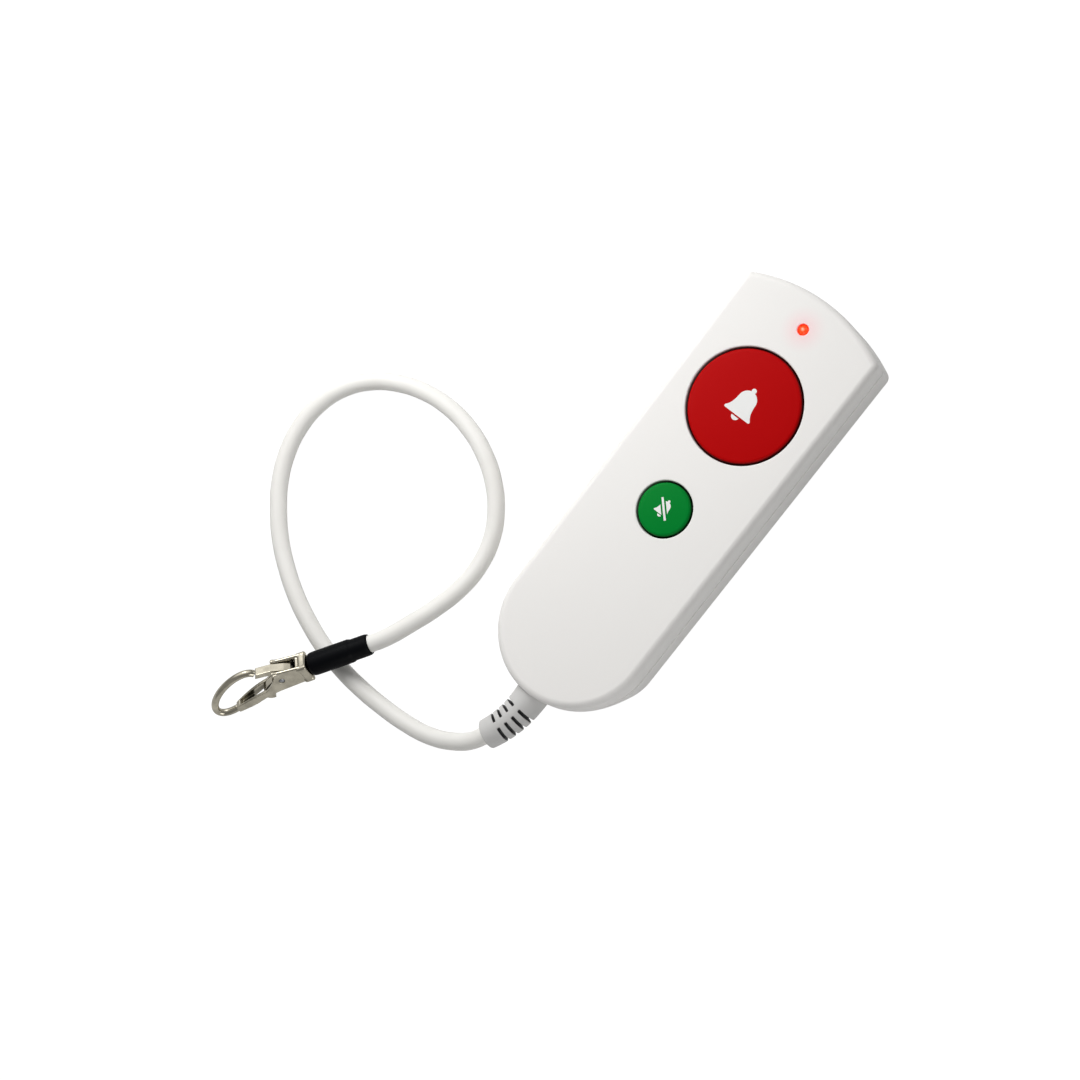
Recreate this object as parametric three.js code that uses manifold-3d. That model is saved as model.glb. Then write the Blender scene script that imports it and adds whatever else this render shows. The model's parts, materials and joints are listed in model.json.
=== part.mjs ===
// Wireless call handset: two-shell housing, call and cancel buttons, board, cell, bend relief,
// tether cord, sleeve and trigger snap. Millimetres, +Z up, the handset lies on its back at z = 0.
// +Y runs from the cord's tail to the lamp end, and x = 0 is the handset's middle plane.
import * as THREE from "three";
import { mergeVertices } from "three/addons/utils/BufferGeometryUtils.js";
import Module from "manifold-3d";

const wasm = await Module();
wasm.setup();

// Driving dimensions of the housing
const bodyLength = 137.6;
const bodyThickness = 18;
const topWidth = 48;
const tailWidth = 46.4;
const topArcRadius = 52;
const topCornerRadius = 2.4;
const partingHeight = 10.4;
const partingGap = 0.3;
const faceEdgeRadius = 3;
const baseEdgeRadius = 2.4;
const shellWall = 2;
const faceWall = 2;
const floorWall = 2;
const baseTopWidth = 47.6;
const baseTailWidth = 44.6;
const baseTailRise = 7.6;
const boatTailPower = 1.6;

// Clearances shared by the pieces
const seatGap = 0.3;
const overrun = 1;
const facets = 32;
const smallFacets = 12;

// Buttons
const callPlaceShare = 0.2326;
const callY = bodyLength * callPlaceShare;
const callSideMargin = 6.7;
const callRadius = Math.min(topWidth, tailWidth) / 2 - callSideMargin;
const callTravel = 1;
const cancelPlaceShare = -0.032;
const cancelY = bodyLength * cancelPlaceShare;
const cancelRadius = 7.7;
const cancelTravel = 0.8;
const capGap = 0.55;
const capProud = 0.8;
const capFlangeReach = 2.1;
const capFlangeHeight = 1.2;

// Lamp
const lampPlaceShare = 0.4266;
const lampY = bodyLength * lampPlaceShare;
const lampRadius = 1.5;

// Cord, relief and sleeve
const cordRadius = 2.6;
const reliefRadius = 5;
const reliefTipRadius = 4.4;
const sleeveLength = 19.5;
const clipHeading = THREE.MathUtils.degToRad(-124.5);
const clipPitch = THREE.MathUtils.degToRad(1);
const clipRoll = THREE.MathUtils.degToRad(25);
const clipPlace = new THREE.Vector3(-60, -103.4, 9);

const halfLength = bodyLength / 2;
const faceInside = bodyThickness - faceWall;
const frontRim = partingHeight + partingGap / 2;
const rearRim = partingHeight - partingGap / 2;

// Materials
function finish(color, roughness, metalness = 0) {
  return new THREE.MeshStandardMaterial({ color, roughness, metalness });
}
const whiteShell = finish(0xf0efeb, 0.5);
const redCap = finish(0xa80e0e, 0.42);
const greenCap = finish(0x077c31, 0.42);
const lampPlastic = finish(0xff3a10, 0.25);
const reliefPlastic = finish(0xcccbc8, 0.6);
const cordJacket = finish(0xe6e4df, 0.45);
const blackRubber = finish(0x101114, 0.55);
const nickel = finish(0xbdb49f, 0.22, 1);
const steel = finish(0xb4b6b8, 0.35, 1);
const boardLaminate = finish(0x1f6b3a, 0.5);
const blackPlastic = finish(0x1a1a1c, 0.5);
const cellWrap = finish(0x2c3e66, 0.35);
const brass = finish(0xb9953f, 0.3, 1);
const redWire = finish(0xb01818, 0.5);
const blackWire = finish(0x17171a, 0.5);

// Solids: closed geometries made into manifolds, joined and cut
function solid(geometry) {
  const plain = geometry.index ? geometry.toNonIndexed() : geometry.clone();
  plain.deleteAttribute("normal");
  plain.deleteAttribute("uv");
  const merged = mergeVertices(plain, 1e-4);
  return new wasm.Manifold(
    new wasm.Mesh({
      numProp: 3,
      vertProperties: merged.attributes.position.array,
      triVerts: new Uint32Array(merged.index.array),
    }),
  );
}

function join(...solids) {
  return solids.reduce((sum, next) => sum.add(next));
}

function cut(base, ...tools) {
  return tools.reduce((left, tool) => left.subtract(tool), base);
}

function mesh(name, made, material) {
  const result = made.getMesh();
  const geometry = new THREE.BufferGeometry();
  geometry.setAttribute("position", new THREE.BufferAttribute(new Float32Array(result.vertProperties), 3));
  geometry.setIndex(new THREE.BufferAttribute(new Uint32Array(result.triVerts), 1));
  geometry.computeVertexNormals();
  const piece = new THREE.Mesh(geometry, material);
  piece.name = name;
  return piece;
}

// A box between two corners
function block(x0, x1, y0, y1, z0, z1) {
  const geometry = new THREE.BoxGeometry(x1 - x0, y1 - y0, z1 - z0);
  geometry.translate((x0 + x1) / 2, (y0 + y1) / 2, (z0 + z1) / 2);
  return solid(geometry);
}

const slabCurveSteps = 5;

// An upright cylinder or cone between two heights
function post(x, y, z0, z1, radius, sides = smallFacets, topRadius = radius) {
  const geometry = new THREE.CylinderGeometry(topRadius, radius, z1 - z0, sides);
  geometry.rotateX(Math.PI / 2);
  geometry.translate(x, y, (z0 + z1) / 2);
  return solid(geometry);
}

// A cylinder along X (from x0 to x1) or along Y (from y0 to y1)
function rodX(x0, x1, y, z, radius, sides = smallFacets) {
  const geometry = new THREE.CylinderGeometry(radius, radius, x1 - x0, sides);
  geometry.rotateZ(-Math.PI / 2);
  geometry.translate((x0 + x1) / 2, y, z);
  return solid(geometry);
}

function rodY(x, y0, y1, z, radius, sides = smallFacets) {
  const geometry = new THREE.CylinderGeometry(radius, radius, y1 - y0, sides);
  geometry.translate(x, (y0 + y1) / 2, z);
  return solid(geometry);
}

// A revolve about an upright axis: points are [radius, height] and start and end on the axis
// or close on themselves
function revolve(points, x, y, sides = facets) {
  const profile = points.map(([radius, height]) => new THREE.Vector2(radius, height));
  const geometry = new THREE.LatheGeometry(profile, sides);
  geometry.rotateX(Math.PI / 2);
  geometry.translate(x, y, 0);
  return solid(geometry);
}

// A prism: an outline in x and y, from one height to another
function prism(points, z0, z1) {
  const shape = new THREE.Shape(points.map(([x, y]) => new THREE.Vector2(x, y)));
  const geometry = new THREE.ExtrudeGeometry(shape, { depth: z1 - z0, bevelEnabled: false });
  geometry.translate(0, 0, z0);
  return solid(geometry);
}

// A slab: an outline in x and z, as points or as a shape, of a width centred on y = 0
function slab(outline, width) {
  const drawn = Array.isArray(outline) ? outline.map(([x, z]) => new THREE.Vector2(x, z)) : null;
  const shape = drawn ? new THREE.Shape(drawn) : outline;
  const geometry = new THREE.ExtrudeGeometry(shape, {
    depth: width,
    bevelEnabled: false,
    curveSegments: slabCurveSteps,
  });
  geometry.rotateX(Math.PI / 2);
  geometry.translate(0, width / 2, 0);
  return solid(geometry);
}

// A closed skin over rings of equally many points, each ring an array of Vector3
function skin(rings) {
  const count = rings[0].length;
  const positions = rings.flat().flatMap((point) => point.toArray());
  const indices = [];
  rings.slice(1).forEach((ring, step) => {
    for (let i = 0; i < count; i += 1) {
      const next = (i + 1) % count;
      const low = step * count;
      const high = low + count;
      indices.push(low + i, low + next, high + next, low + i, high + next, high + i);
    }
  });
  [rings[0], rings.at(-1)].forEach((ring, end) => {
    const centre = ring.reduce((sum, point) => sum.add(point), new THREE.Vector3()).divideScalar(count);
    const hub = positions.length / 3;
    positions.push(...centre.toArray());
    const base = end * (rings.length - 1) * count;
    for (let i = 0; i < count; i += 1) {
      const next = (i + 1) % count;
      if (end) {
        indices.push(base + i, base + next, hub);
      } else {
        indices.push(base + next, base + i, hub);
      }
    }
  });
  const geometry = new THREE.BufferGeometry();
  geometry.setAttribute("position", new THREE.Float32BufferAttribute(positions, 3));
  geometry.setIndex(indices);
  return solid(geometry);
}

// A round bar of changing radius along a curve, whose cross-section keeps +Z as its upright
function taperedBar(curve, steps, radiusAt, sides = smallFacets) {
  const up = new THREE.Vector3(0, 0, 1);
  const rings = [];
  for (let step = 0; step <= steps; step += 1) {
    const share = step / steps;
    const centre = curve.getPointAt(share);
    const along = curve.getTangentAt(share);
    const side = new THREE.Vector3().crossVectors(up, along).normalize();
    const rise = new THREE.Vector3().crossVectors(along, side);
    const radius = radiusAt(share);
    const ring = [];
    for (let i = 0; i < sides; i += 1) {
      const angle = (2 * Math.PI * i) / sides;
      ring.push(
        centre
          .clone()
          .addScaledVector(side, radius * Math.cos(angle))
          .addScaledVector(rise, radius * Math.sin(angle)),
      );
    }
    rings.push(ring);
  }
  return skin(rings);
}

// A round wire along a curve
function wire(curve, steps, radius, sides) {
  const section = new THREE.Shape();
  for (let i = 0; i < sides; i += 1) {
    const angle = (2 * Math.PI * i) / sides;
    const point = [radius * Math.cos(angle), radius * Math.sin(angle)];
    if (i === 0) {
      section.moveTo(...point);
    } else {
      section.lineTo(...point);
    }
  }
  section.closePath();
  return solid(new THREE.ExtrudeGeometry(section, { steps, extrudePath: curve }));
}

// A coil of wire rising along +Z from height 0
class CoilCurve extends THREE.Curve {
  constructor(radius, height, turns, endRadius = radius) {
    super();
    Object.assign(this, { radius, height, turns, endRadius });
  }
  getPoint(share, target = new THREE.Vector3()) {
    const angle = 2 * Math.PI * this.turns * share;
    const radius = THREE.MathUtils.lerp(this.radius, this.endRadius, share);
    return target.set(radius * Math.cos(angle), radius * Math.sin(angle), this.height * share);
  }
}

const coilStepsPerTurn = 10;
const coilSides = 5;

function coil(radius, wireRadius, height, turns, endRadius = radius) {
  const curve = new CoilCurve(radius, height, turns, endRadius);
  return wire(curve, Math.round(turns * coilStepsPerTurn), wireRadius, coilSides);
}

// The housing's outline at a height, drawn in by an inset. The taper runs from 0 at the
// parting line to 1 at the base, where the tail is shorter and the sides are narrower.
const cornerSteps = 3;
const topArcSteps = 10;
const tailSteps = 22;
const tailCentreY = -halfLength + tailWidth / 2;
const smallestCornerRadius = 0.3;

function housingOutline(inset, taper) {
  const halfTop = THREE.MathUtils.lerp(topWidth, baseTopWidth, taper) / 2 - inset;
  const halfTail = THREE.MathUtils.lerp(tailWidth, baseTailWidth, taper) / 2 - inset;
  const tailReach = tailWidth / 2 - baseTailRise * taper - inset;
  const arcRadius = topArcRadius - inset;
  const arcCentreY = halfLength - topArcRadius;
  const corner = Math.max(topCornerRadius - inset, smallestCornerRadius);
  const cornerX = halfTop - corner;
  const cornerY = arcCentreY + Math.sqrt((arcRadius - corner) ** 2 - cornerX ** 2);
  const arcStart = Math.atan2(cornerY - arcCentreY, cornerX);
  const points = [];
  for (let i = 0; i <= cornerSteps; i += 1) {
    const angle = (arcStart * i) / cornerSteps;
    points.push([cornerX + corner * Math.cos(angle), cornerY + corner * Math.sin(angle)]);
  }
  for (let i = 1; i < topArcSteps; i += 1) {
    const angle = THREE.MathUtils.lerp(arcStart, Math.PI - arcStart, i / topArcSteps);
    points.push([arcRadius * Math.cos(angle), arcCentreY + arcRadius * Math.sin(angle)]);
  }
  for (let i = cornerSteps; i >= 0; i -= 1) {
    const angle = Math.PI - (arcStart * i) / cornerSteps;
    points.push([-cornerX + corner * Math.cos(angle), cornerY + corner * Math.sin(angle)]);
  }
  for (let i = 0; i <= tailSteps; i += 1) {
    const angle = Math.PI + (Math.PI * i) / tailSteps;
    points.push([halfTail * Math.cos(angle), tailCentreY + tailReach * Math.sin(angle)]);
  }
  return points;
}

function outlineRing(z, inset, taper) {
  return housingOutline(inset, taper).map(([x, y]) => new THREE.Vector3(x, y, z));
}

function boatTaper(z) {
  return THREE.MathUtils.clamp(1 - z / partingHeight, 0, 1) ** boatTailPower;
}

// Rings of a rounded edge, from the upright side to the flat
function edgeRings(steps, radius, ringAt) {
  const rings = [];
  for (let i = 1; i <= steps; i += 1) {
    const angle = (Math.PI / 2) * (i / steps);
    rings.push(ringAt(radius * (1 - Math.cos(angle)), radius * Math.sin(angle)));
  }
  return rings;
}

const edgeSteps = 4;

function frontOuter() {
  const edgeStart = bodyThickness - faceEdgeRadius;
  return skin([
    outlineRing(frontRim, 0, 0),
    outlineRing(edgeStart, 0, 0),
    ...edgeRings(edgeSteps, faceEdgeRadius, (inset, rise) => outlineRing(edgeStart + rise, inset, 0)),
  ]);
}

const rearHeightShares = [0.42, 0.66, 0.85];

function rearOuter() {
  const base = edgeRings(edgeSteps, baseEdgeRadius, (inset, drop) => {
    const z = baseEdgeRadius - drop;
    return outlineRing(z, inset, boatTaper(z));
  }).reverse();
  const side = rearHeightShares.map((share) => {
    const z = rearRim * share;
    return outlineRing(z, 0, boatTaper(z));
  });
  return skin([
    ...base,
    outlineRing(baseEdgeRadius, 0, boatTaper(baseEdgeRadius)),
    ...side,
    outlineRing(rearRim, 0, boatTaper(rearRim)),
  ]);
}

const lipHeight = 1.1;
const lipInset = 1.2;
const lipGap = 0.3;

// Screws that close the housing: places, and the bosses that they pass through
const bossRadius = 3.1;
const doorHalfWidth = 12;
const screwTopX = topWidth / 2 - 6;
const screwTopY = halfLength - 11.8;
const screwTailX = doorHalfWidth + bossRadius + 1.2;
const screwTailY = -halfLength + 28.8;
const screwHeadRadius = 2.3;
const screwHeadHeight = 1.5;
const screwHeadSunk = 0.7;
const screwShankRadius = 1.25;
const screwLength = 12;
const screwPlaces = [
  [screwTopX, screwTopY],
  [-screwTopX, screwTopY],
  [screwTailX, screwTailY],
  [-screwTailX, screwTailY],
];
const screwSeat = screwHeadSunk + screwHeadHeight + seatGap;

// Relief: where it passes the tail wall and how its flange is held
const reliefFlangeHalfWidth = 7;
const reliefFlangeHalfHeight = 4.9;
const reliefFlangeThickness = 2;
const reliefFlangeY = -halfLength + 5.5;
const reliefRootY = reliefFlangeY + reliefFlangeThickness;
const reliefBendStart = -halfLength - 2;
const reliefBendLength = 15.6;
const reliefBendAngle = THREE.MathUtils.degToRad(30);
const reliefDroop = 1.3;
const forkThickness = 1.4;
const forkHalfWidth = 8;
const forkY = reliefRootY + seatGap;
const holeGap = 0.25;
const stopLength = 3.2;
const stopWall = 1.1;
const stopY = forkY + forkThickness + seatGap;

// Battery bay in the rear cover, and its sliding door
const cellRadius = 5.15;
const cellLength = 28.5;
const cellNubRadius = 1.8;
const cellNubLength = 0.8;
const doorThickness = 1.2;
const doorTravel = 6;
const doorGap = 0.3;
const ledgeTop = 2.8;
const bayWall = 1.2;
const bayHeight = 11.4;
const bayHalfWidth = cellRadius + 0.75;
const contactThickness = 0.4;
const contactSpring = 3.4;
const bayTailY = stopY + stopLength + seatGap + bayWall;
const minusPlateY = bayTailY + seatGap;
const cellTailY = minusPlateY + contactThickness + contactSpring + seatGap;
const cellTopY = cellTailY + cellLength;
const plusPlateY = cellTopY + seatGap;
const bayTopY = plusPlateY + contactThickness + seatGap;
const doorLap = 2.4;
const doorTopY = bayTopY + doorLap;
const cellZ = doorThickness + doorGap + cellRadius;
const hookLength = 4;
const hookStem = 1;
const hookReach = 1.2;
const hookThickness = 0.8;
const hookX = bayHalfWidth + bayWall + 1.4;
const hookYs = [bayTopY - 6, bayTailY + 10];

// Board: its heights, outline and the posts that carry it
const boardThickness = 1.6;
const boardBottom = 8;
const boardTop = boardBottom + boardThickness;
const boardSideGap = 1.4;
const boardHalfWidth = Math.min(topWidth, tailWidth) / 2 - shellWall - boardSideGap;
const boardNeckHalfWidth = screwTopX - bossRadius - 1.1;
const boardNeckY = screwTopY - bossRadius - 2 * overrun;
const boardTopY = lampY + 3.6;
const boardTailY = bayTopY + bayWall + 1.5 * seatGap;
const boardPostRadius = 2.6;
const boardScrewRadius = 1;
const boardScrewHeadRadius = 1.9;
const boardScrewHeadHeight = 1.5;
const boardScrewDepth = 5;
const boardPinRadius = 1;
const boardLowX = boardHalfWidth - 7.8;
const boardLowPlaceShare = 0.06;
const boardLowY = bodyLength * boardLowPlaceShare;
const boardHighX = boardNeckHalfWidth - 2.8;
const boardHighY = lampY - 3.7;
const boardScrewPlaces = [
  [boardLowX, boardLowY],
  [-boardHighX, boardHighY],
];
const boardPinPlaces = [
  [-boardLowX, boardLowY],
  [boardHighX, boardHighY],
];

// The lip that locates the two shells, standing on the rear cover's rim
function lipBand(outerInset, innerInset, z0, z1) {
  return cut(
    skin([outlineRing(z0, outerInset, 0), outlineRing(z1, outerInset, 0)]),
    skin([outlineRing(z0 - overrun, innerInset, 0), outlineRing(z1 + overrun, innerInset, 0)]),
  );
}

function tailHole() {
  return rodY(0, -halfLength - overrun, reliefFlangeY, partingHeight, reliefRadius + holeGap, facets);
}

// A rib with a round notch that traps the relief's flange and the cord's stop
function forkRib(z0, z1) {
  const notch = rodY(0, forkY - overrun, forkY + forkThickness + overrun, partingHeight, cordRadius + seatGap);
  return cut(block(-forkHalfWidth, forkHalfWidth, forkY, forkY + forkThickness, z0, z1), notch);
}

const guideWall = 1.2;
const guideHeight = 3;
const guideGap = 0.4;
const holeEdge = 0.4;

// The round hole for a cap, with its broken edge, and the guide ring behind it
function capHole(y, radius) {
  const rim = radius + capGap;
  const edge = post(0, y, bodyThickness - holeEdge, bodyThickness + overrun, rim, facets, rim + holeEdge + overrun);
  return join(post(0, y, faceInside - overrun, bodyThickness + overrun, rim, facets), edge);
}

function guideRing(y, radius) {
  const inner = radius + capFlangeReach + guideGap;
  const outer = inner + guideWall;
  const low = faceInside - guideHeight;
  const high = faceInside + holeEdge;
  return revolve([[inner, low], [outer, low], [outer, high], [inner, high], [inner, low]], 0, y);
}

const lampHoleGap = 0.2;
const screwHoleGap = 0.3;

function frontCover() {
  const innerEdge = faceEdgeRadius - shellWall;
  const cavity = skin([
    outlineRing(frontRim - overrun, shellWall, 0),
    outlineRing(faceInside - innerEdge, shellWall, 0),
    outlineRing(faceInside, shellWall + innerEdge, 0),
  ]);
  const rabbetTop = frontRim + lipHeight + lipGap;
  const rabbet = skin([
    outlineRing(frontRim - overrun, lipInset - lipGap, 0),
    outlineRing(rabbetTop, lipInset - lipGap, 0),
  ]);
  const shell = cut(frontOuter(), cavity, rabbet);
  const bosses = screwPlaces.map(([x, y]) => post(x, y, frontRim, faceInside + holeEdge, bossRadius));
  const posts = [...boardScrewPlaces, ...boardPinPlaces].map(([x, y]) =>
    post(x, y, boardTop + seatGap, faceInside + holeEdge, boardPostRadius),
  );
  const pins = boardPinPlaces.map(([x, y]) => post(x, y, boardBottom, faceInside, boardPinRadius));
  const guides = [guideRing(callY, callRadius), guideRing(cancelY, cancelRadius)];
  const fork = forkRib(partingHeight + partingGap, faceInside + holeEdge);
  const screwTop = screwSeat - seatGap + screwLength + screwHoleGap;
  const screwHoles = screwPlaces.map(([x, y]) =>
    post(x, y, frontRim - overrun, screwTop, screwShankRadius + screwHoleGap),
  );
  const boardScrewTop = boardBottom + boardScrewDepth + screwHoleGap;
  const boardHoles = boardScrewPlaces.map(([x, y]) =>
    post(x, y, boardTop, boardScrewTop, boardScrewRadius + screwHoleGap),
  );
  const lampHole = post(0, lampY, faceInside - overrun, bodyThickness + overrun, lampRadius + lampHoleGap);
  return cut(
    join(shell, ...bosses, ...posts, ...pins, ...guides, fork),
    capHole(callY, callRadius),
    capHole(cancelY, cancelRadius),
    lampHole,
    tailHole(),
    ...screwHoles,
    ...boardHoles,
  );
}

// The recess in the base for the door, and the slots that its hooks pass through
function doorRecess() {
  const tail = -halfLength - overrun;
  const top = doorTopY + doorGap;
  const half = doorHalfWidth + doorGap;
  const recess = block(-half, half, tail, top, -overrun, doorThickness + doorGap);
  const slots = hookYs.flatMap((y) =>
    [-1, 1].map((side) => {
      const near = side * (hookX - doorGap);
      const stemFar = side * (hookX + hookStem + doorGap);
      const hookFar = side * (hookX + hookStem + hookReach + doorGap);
      const low = y - hookLength / 2 - doorTravel - doorGap;
      const high = y + hookLength / 2 + doorGap;
      const entry = y + hookLength / 2 - doorTravel + doorGap;
      const lane = block(Math.min(near, stemFar), Math.max(near, stemFar), low, high, 0, ledgeTop + overrun);
      const pocket = block(Math.min(near, hookFar), Math.max(near, hookFar), low, entry, 0, ledgeTop + overrun);
      return join(lane, pocket);
    }),
  );
  return join(recess, ...slots);
}

function rearCover() {
  const cavity = skin([
    outlineRing(floorWall, shellWall + baseEdgeRadius / 2, boatTaper(0)),
    outlineRing(floorWall + baseEdgeRadius / 2, shellWall, boatTaper(baseEdgeRadius / 2)),
    ...rearHeightShares.map((share) => {
      const z = floorWall + (partingHeight - floorWall) * share;
      return outlineRing(z, shellWall, boatTaper(z - floorWall / 2));
    }),
    outlineRing(partingHeight + overrun, shellWall, 0),
  ]);
  const outer = rearOuter();
  const lip = lipBand(lipInset, shellWall, rearRim - overrun, rearRim + lipHeight);
  const padHalf = doorHalfWidth + doorGap + shellWall / 2;
  const padBlock = block(-padHalf, padHalf, -halfLength, doorTopY + shellWall, floorWall / 2, ledgeTop);
  const pad = padBlock.intersect(outer);
  const walls = cut(
    block(
      -bayHalfWidth - bayWall,
      bayHalfWidth + bayWall,
      bayTailY - bayWall,
      bayTopY + bayWall,
      ledgeTop - floorWall / 2,
      bayHeight,
    ),
    block(-bayHalfWidth, bayHalfWidth, bayTailY, bayTopY, 0, bayHeight + overrun),
  );
  const bosses = screwPlaces.map(([x, y]) => post(x, y, floorWall / 2, rearRim, bossRadius));
  const forkBase = forkRib(floorWall / 2, partingHeight - partingGap).intersect(outer);
  const bayFloor = block(-bayHalfWidth, bayHalfWidth, bayTailY, bayTopY, -overrun, ledgeTop + overrun);
  const heads = screwPlaces.map(([x, y]) => post(x, y, -overrun, screwSeat, screwHeadRadius + screwHoleGap));
  const shanks = screwPlaces.map(([x, y]) => post(x, y, 0, rearRim + overrun, screwShankRadius + screwHoleGap));
  return cut(
    join(cut(outer, cavity), lip, pad, walls, ...bosses, forkBase),
    doorRecess(),
    bayFloor,
    tailHole(),
    ...heads,
    ...shanks,
  );
}

const gripRidges = 5;
const gripPitch = 2;
const gripDepth = 0.4;
const gripHalfWidth = 6;
const gripStartY = doorTopY - 7;

function batteryDoor() {
  const plate = block(-doorHalfWidth, doorHalfWidth, -halfLength, doorTopY, -overrun, doorThickness);
  const hooks = hookYs.flatMap((y) =>
    [-1, 1].map((side) => {
      const root = side * hookX;
      const stem = side * (hookX + hookStem);
      const tip = side * (hookX + hookStem + hookReach);
      const low = y - hookLength / 2;
      const high = y + hookLength / 2;
      const hookZ = ledgeTop + seatGap;
      const upright = block(
        Math.min(root, stem), Math.max(root, stem), low, high, doorThickness / 2, hookZ + hookThickness,
      );
      const foot = block(Math.min(root, tip), Math.max(root, tip), low, high, hookZ, hookZ + hookThickness);
      return join(upright, foot);
    }),
  );
  const grips = Array.from({ length: gripRidges }, (_, i) => {
    const y = gripStartY - i * gripPitch;
    return block(-gripHalfWidth, gripHalfWidth, y - gripPitch / 4, y + gripPitch / 4, -overrun, gripDepth);
  });
  return cut(join(plate.intersect(rearOuter()), ...hooks), ...grips);
}

// Switches: a square body on the board with a plunger under each cap's post
const switchSize = 6;
const switchHeight = 3.4;
const switchFloor = 0.6;
const plungerRadius = 1.7;
const plungerGap = 0.2;
const plungerTop = boardTop + 5;
const capPostRadius = 2.4;

function switchBody(y) {
  const half = switchSize / 2;
  const base = boardTop;
  return cut(
    block(-half, half, y - half, y + half, base, base + switchHeight),
    post(0, y, base + switchFloor, base + switchHeight + overrun, plungerRadius + plungerGap),
  );
}

function switchPlunger(y, travel) {
  const low = boardTop + switchFloor + travel + seatGap;
  return post(0, y, low, plungerTop, plungerRadius);
}

// A cap: crowned top with a rounded rim, hollow skirt, retaining flange, post and spring seat
const capTopWall = 1.6;
const capRimRadius = 1.4;
const capRimSteps = 4;
const springSeatHeight = 1;
const springSeatWall = 0.8;
const springSeatGap = 0.25;

function cap(y, radius, skirtWall, crown, springRadius, wireRadius) {
  const top = bodyThickness + capProud;
  const flangeTop = faceInside - seatGap;
  const flangeLow = flangeTop - capFlangeHeight;
  const flangeRadius = radius + capFlangeReach;
  const rimTop = top - crown;
  const rim = [];
  for (let i = 0; i <= capRimSteps; i += 1) {
    const angle = (Math.PI / 2) * (i / capRimSteps);
    rim.push([radius - capRimRadius * (1 - Math.cos(angle)), rimTop - capRimRadius * (1 - Math.sin(angle))]);
  }
  const inner = radius - skirtWall;
  const ceiling = top - crown - capTopWall;
  const shellProfile = [
    [0, ceiling],
    [inner, ceiling],
    [inner, flangeLow],
    [flangeRadius, flangeLow],
    [flangeRadius, flangeTop],
    [radius, flangeTop],
    ...rim,
    [radius / 2, top - crown / 4],
    [0, top],
  ];
  const seatInner = springRadius + wireRadius + springSeatGap;
  const seatOuter = Math.min(seatInner + springSeatWall, inner + skirtWall / 2);
  const seatLow = ceiling - springSeatHeight;
  const seatTop = ceiling + capTopWall / 2;
  const seat = revolve(
    [[seatInner, seatLow], [seatOuter, seatLow], [seatOuter, seatTop], [seatInner, seatTop], [seatInner, seatLow]],
    0,
    y,
  );
  const stem = post(0, y, plungerTop + seatGap, ceiling + capTopWall / 2, capPostRadius);
  return join(revolve(shellProfile, 0, y), seat, stem);
}

const callSkirtWall = 1.6;
const callCrown = 0.5;
const callSpringRadius = 6.2;
const callSpringWire = 0.35;
const cancelSkirtWall = 1.2;
const cancelCrown = 0.3;
const cancelSpringRadius = 5.2;
const cancelSpringWire = 0.25;
const capSpringTurns = 3.5;

function capSpring(y, crown, springRadius, wireRadius) {
  const low = boardTop + seatGap + wireRadius;
  const high = bodyThickness + capProud - crown - capTopWall - seatGap - wireRadius;
  return coil(springRadius, wireRadius, high - low, capSpringTurns).translate([0, y, low]);
}

// Board with its holes for pins, screws and the lamp's legs
const lampLegX = 1.27;
const lampLegHalf = 0.25;
const lampLegHoleRadius = 0.6;

function circuitBoard() {
  const outline = [
    [-boardHalfWidth, boardTailY],
    [boardHalfWidth, boardTailY],
    [boardHalfWidth, boardNeckY],
    [boardNeckHalfWidth, boardNeckY],
    [boardNeckHalfWidth, boardTopY],
    [-boardNeckHalfWidth, boardTopY],
    [-boardNeckHalfWidth, boardNeckY],
    [-boardHalfWidth, boardNeckY],
  ];
  const through = (x, y, radius) => post(x, y, boardBottom - overrun, boardTop + overrun, radius);
  return cut(
    prism(outline, boardBottom, boardTop),
    ...boardScrewPlaces.map(([x, y]) => through(x, y, boardScrewRadius + screwHoleGap)),
    ...boardPinPlaces.map(([x, y]) => through(x, y, boardPinRadius + screwHoleGap)),
    ...[-lampLegX, lampLegX].map((x) => through(x, lampY, lampLegHoleRadius)),
  );
}

// A pan-head screw that points up from its head
const recessDepthShare = 0.55;
const recessWidthShare = 0.22;
const recessReachShare = 0.62;

function screw(x, y, headLow, headRadius, headHeight, shankRadius, shankLength) {
  const seat = headLow + headHeight;
  const tip = seat + shankLength;
  const body = revolve(
    [
      [0, headLow],
      [headRadius - headHeight / 3, headLow],
      [headRadius, headLow + headHeight / 3],
      [headRadius, seat],
      [shankRadius, seat],
      [shankRadius, tip - shankRadius],
      [0, tip],
    ],
    x,
    y,
    smallFacets,
  );
  const reach = headRadius * recessReachShare;
  const half = (headRadius * recessWidthShare) / 2;
  const deep = headLow + headHeight * recessDepthShare;
  return cut(
    body,
    block(x - reach, x + reach, y - half, y + half, headLow - overrun, deep),
    block(x - half, x + half, y - reach, y + reach, headLow - overrun, deep),
  );
}

// Lamp: a domed 3 mm lamp on a spacer
const lampFlangeRadius = 1.9;
const lampFlangeHeight = 1;
const lampProud = 0.3;
const lampHeight = 5.3;
const lampDomeSteps = 4;

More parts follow.
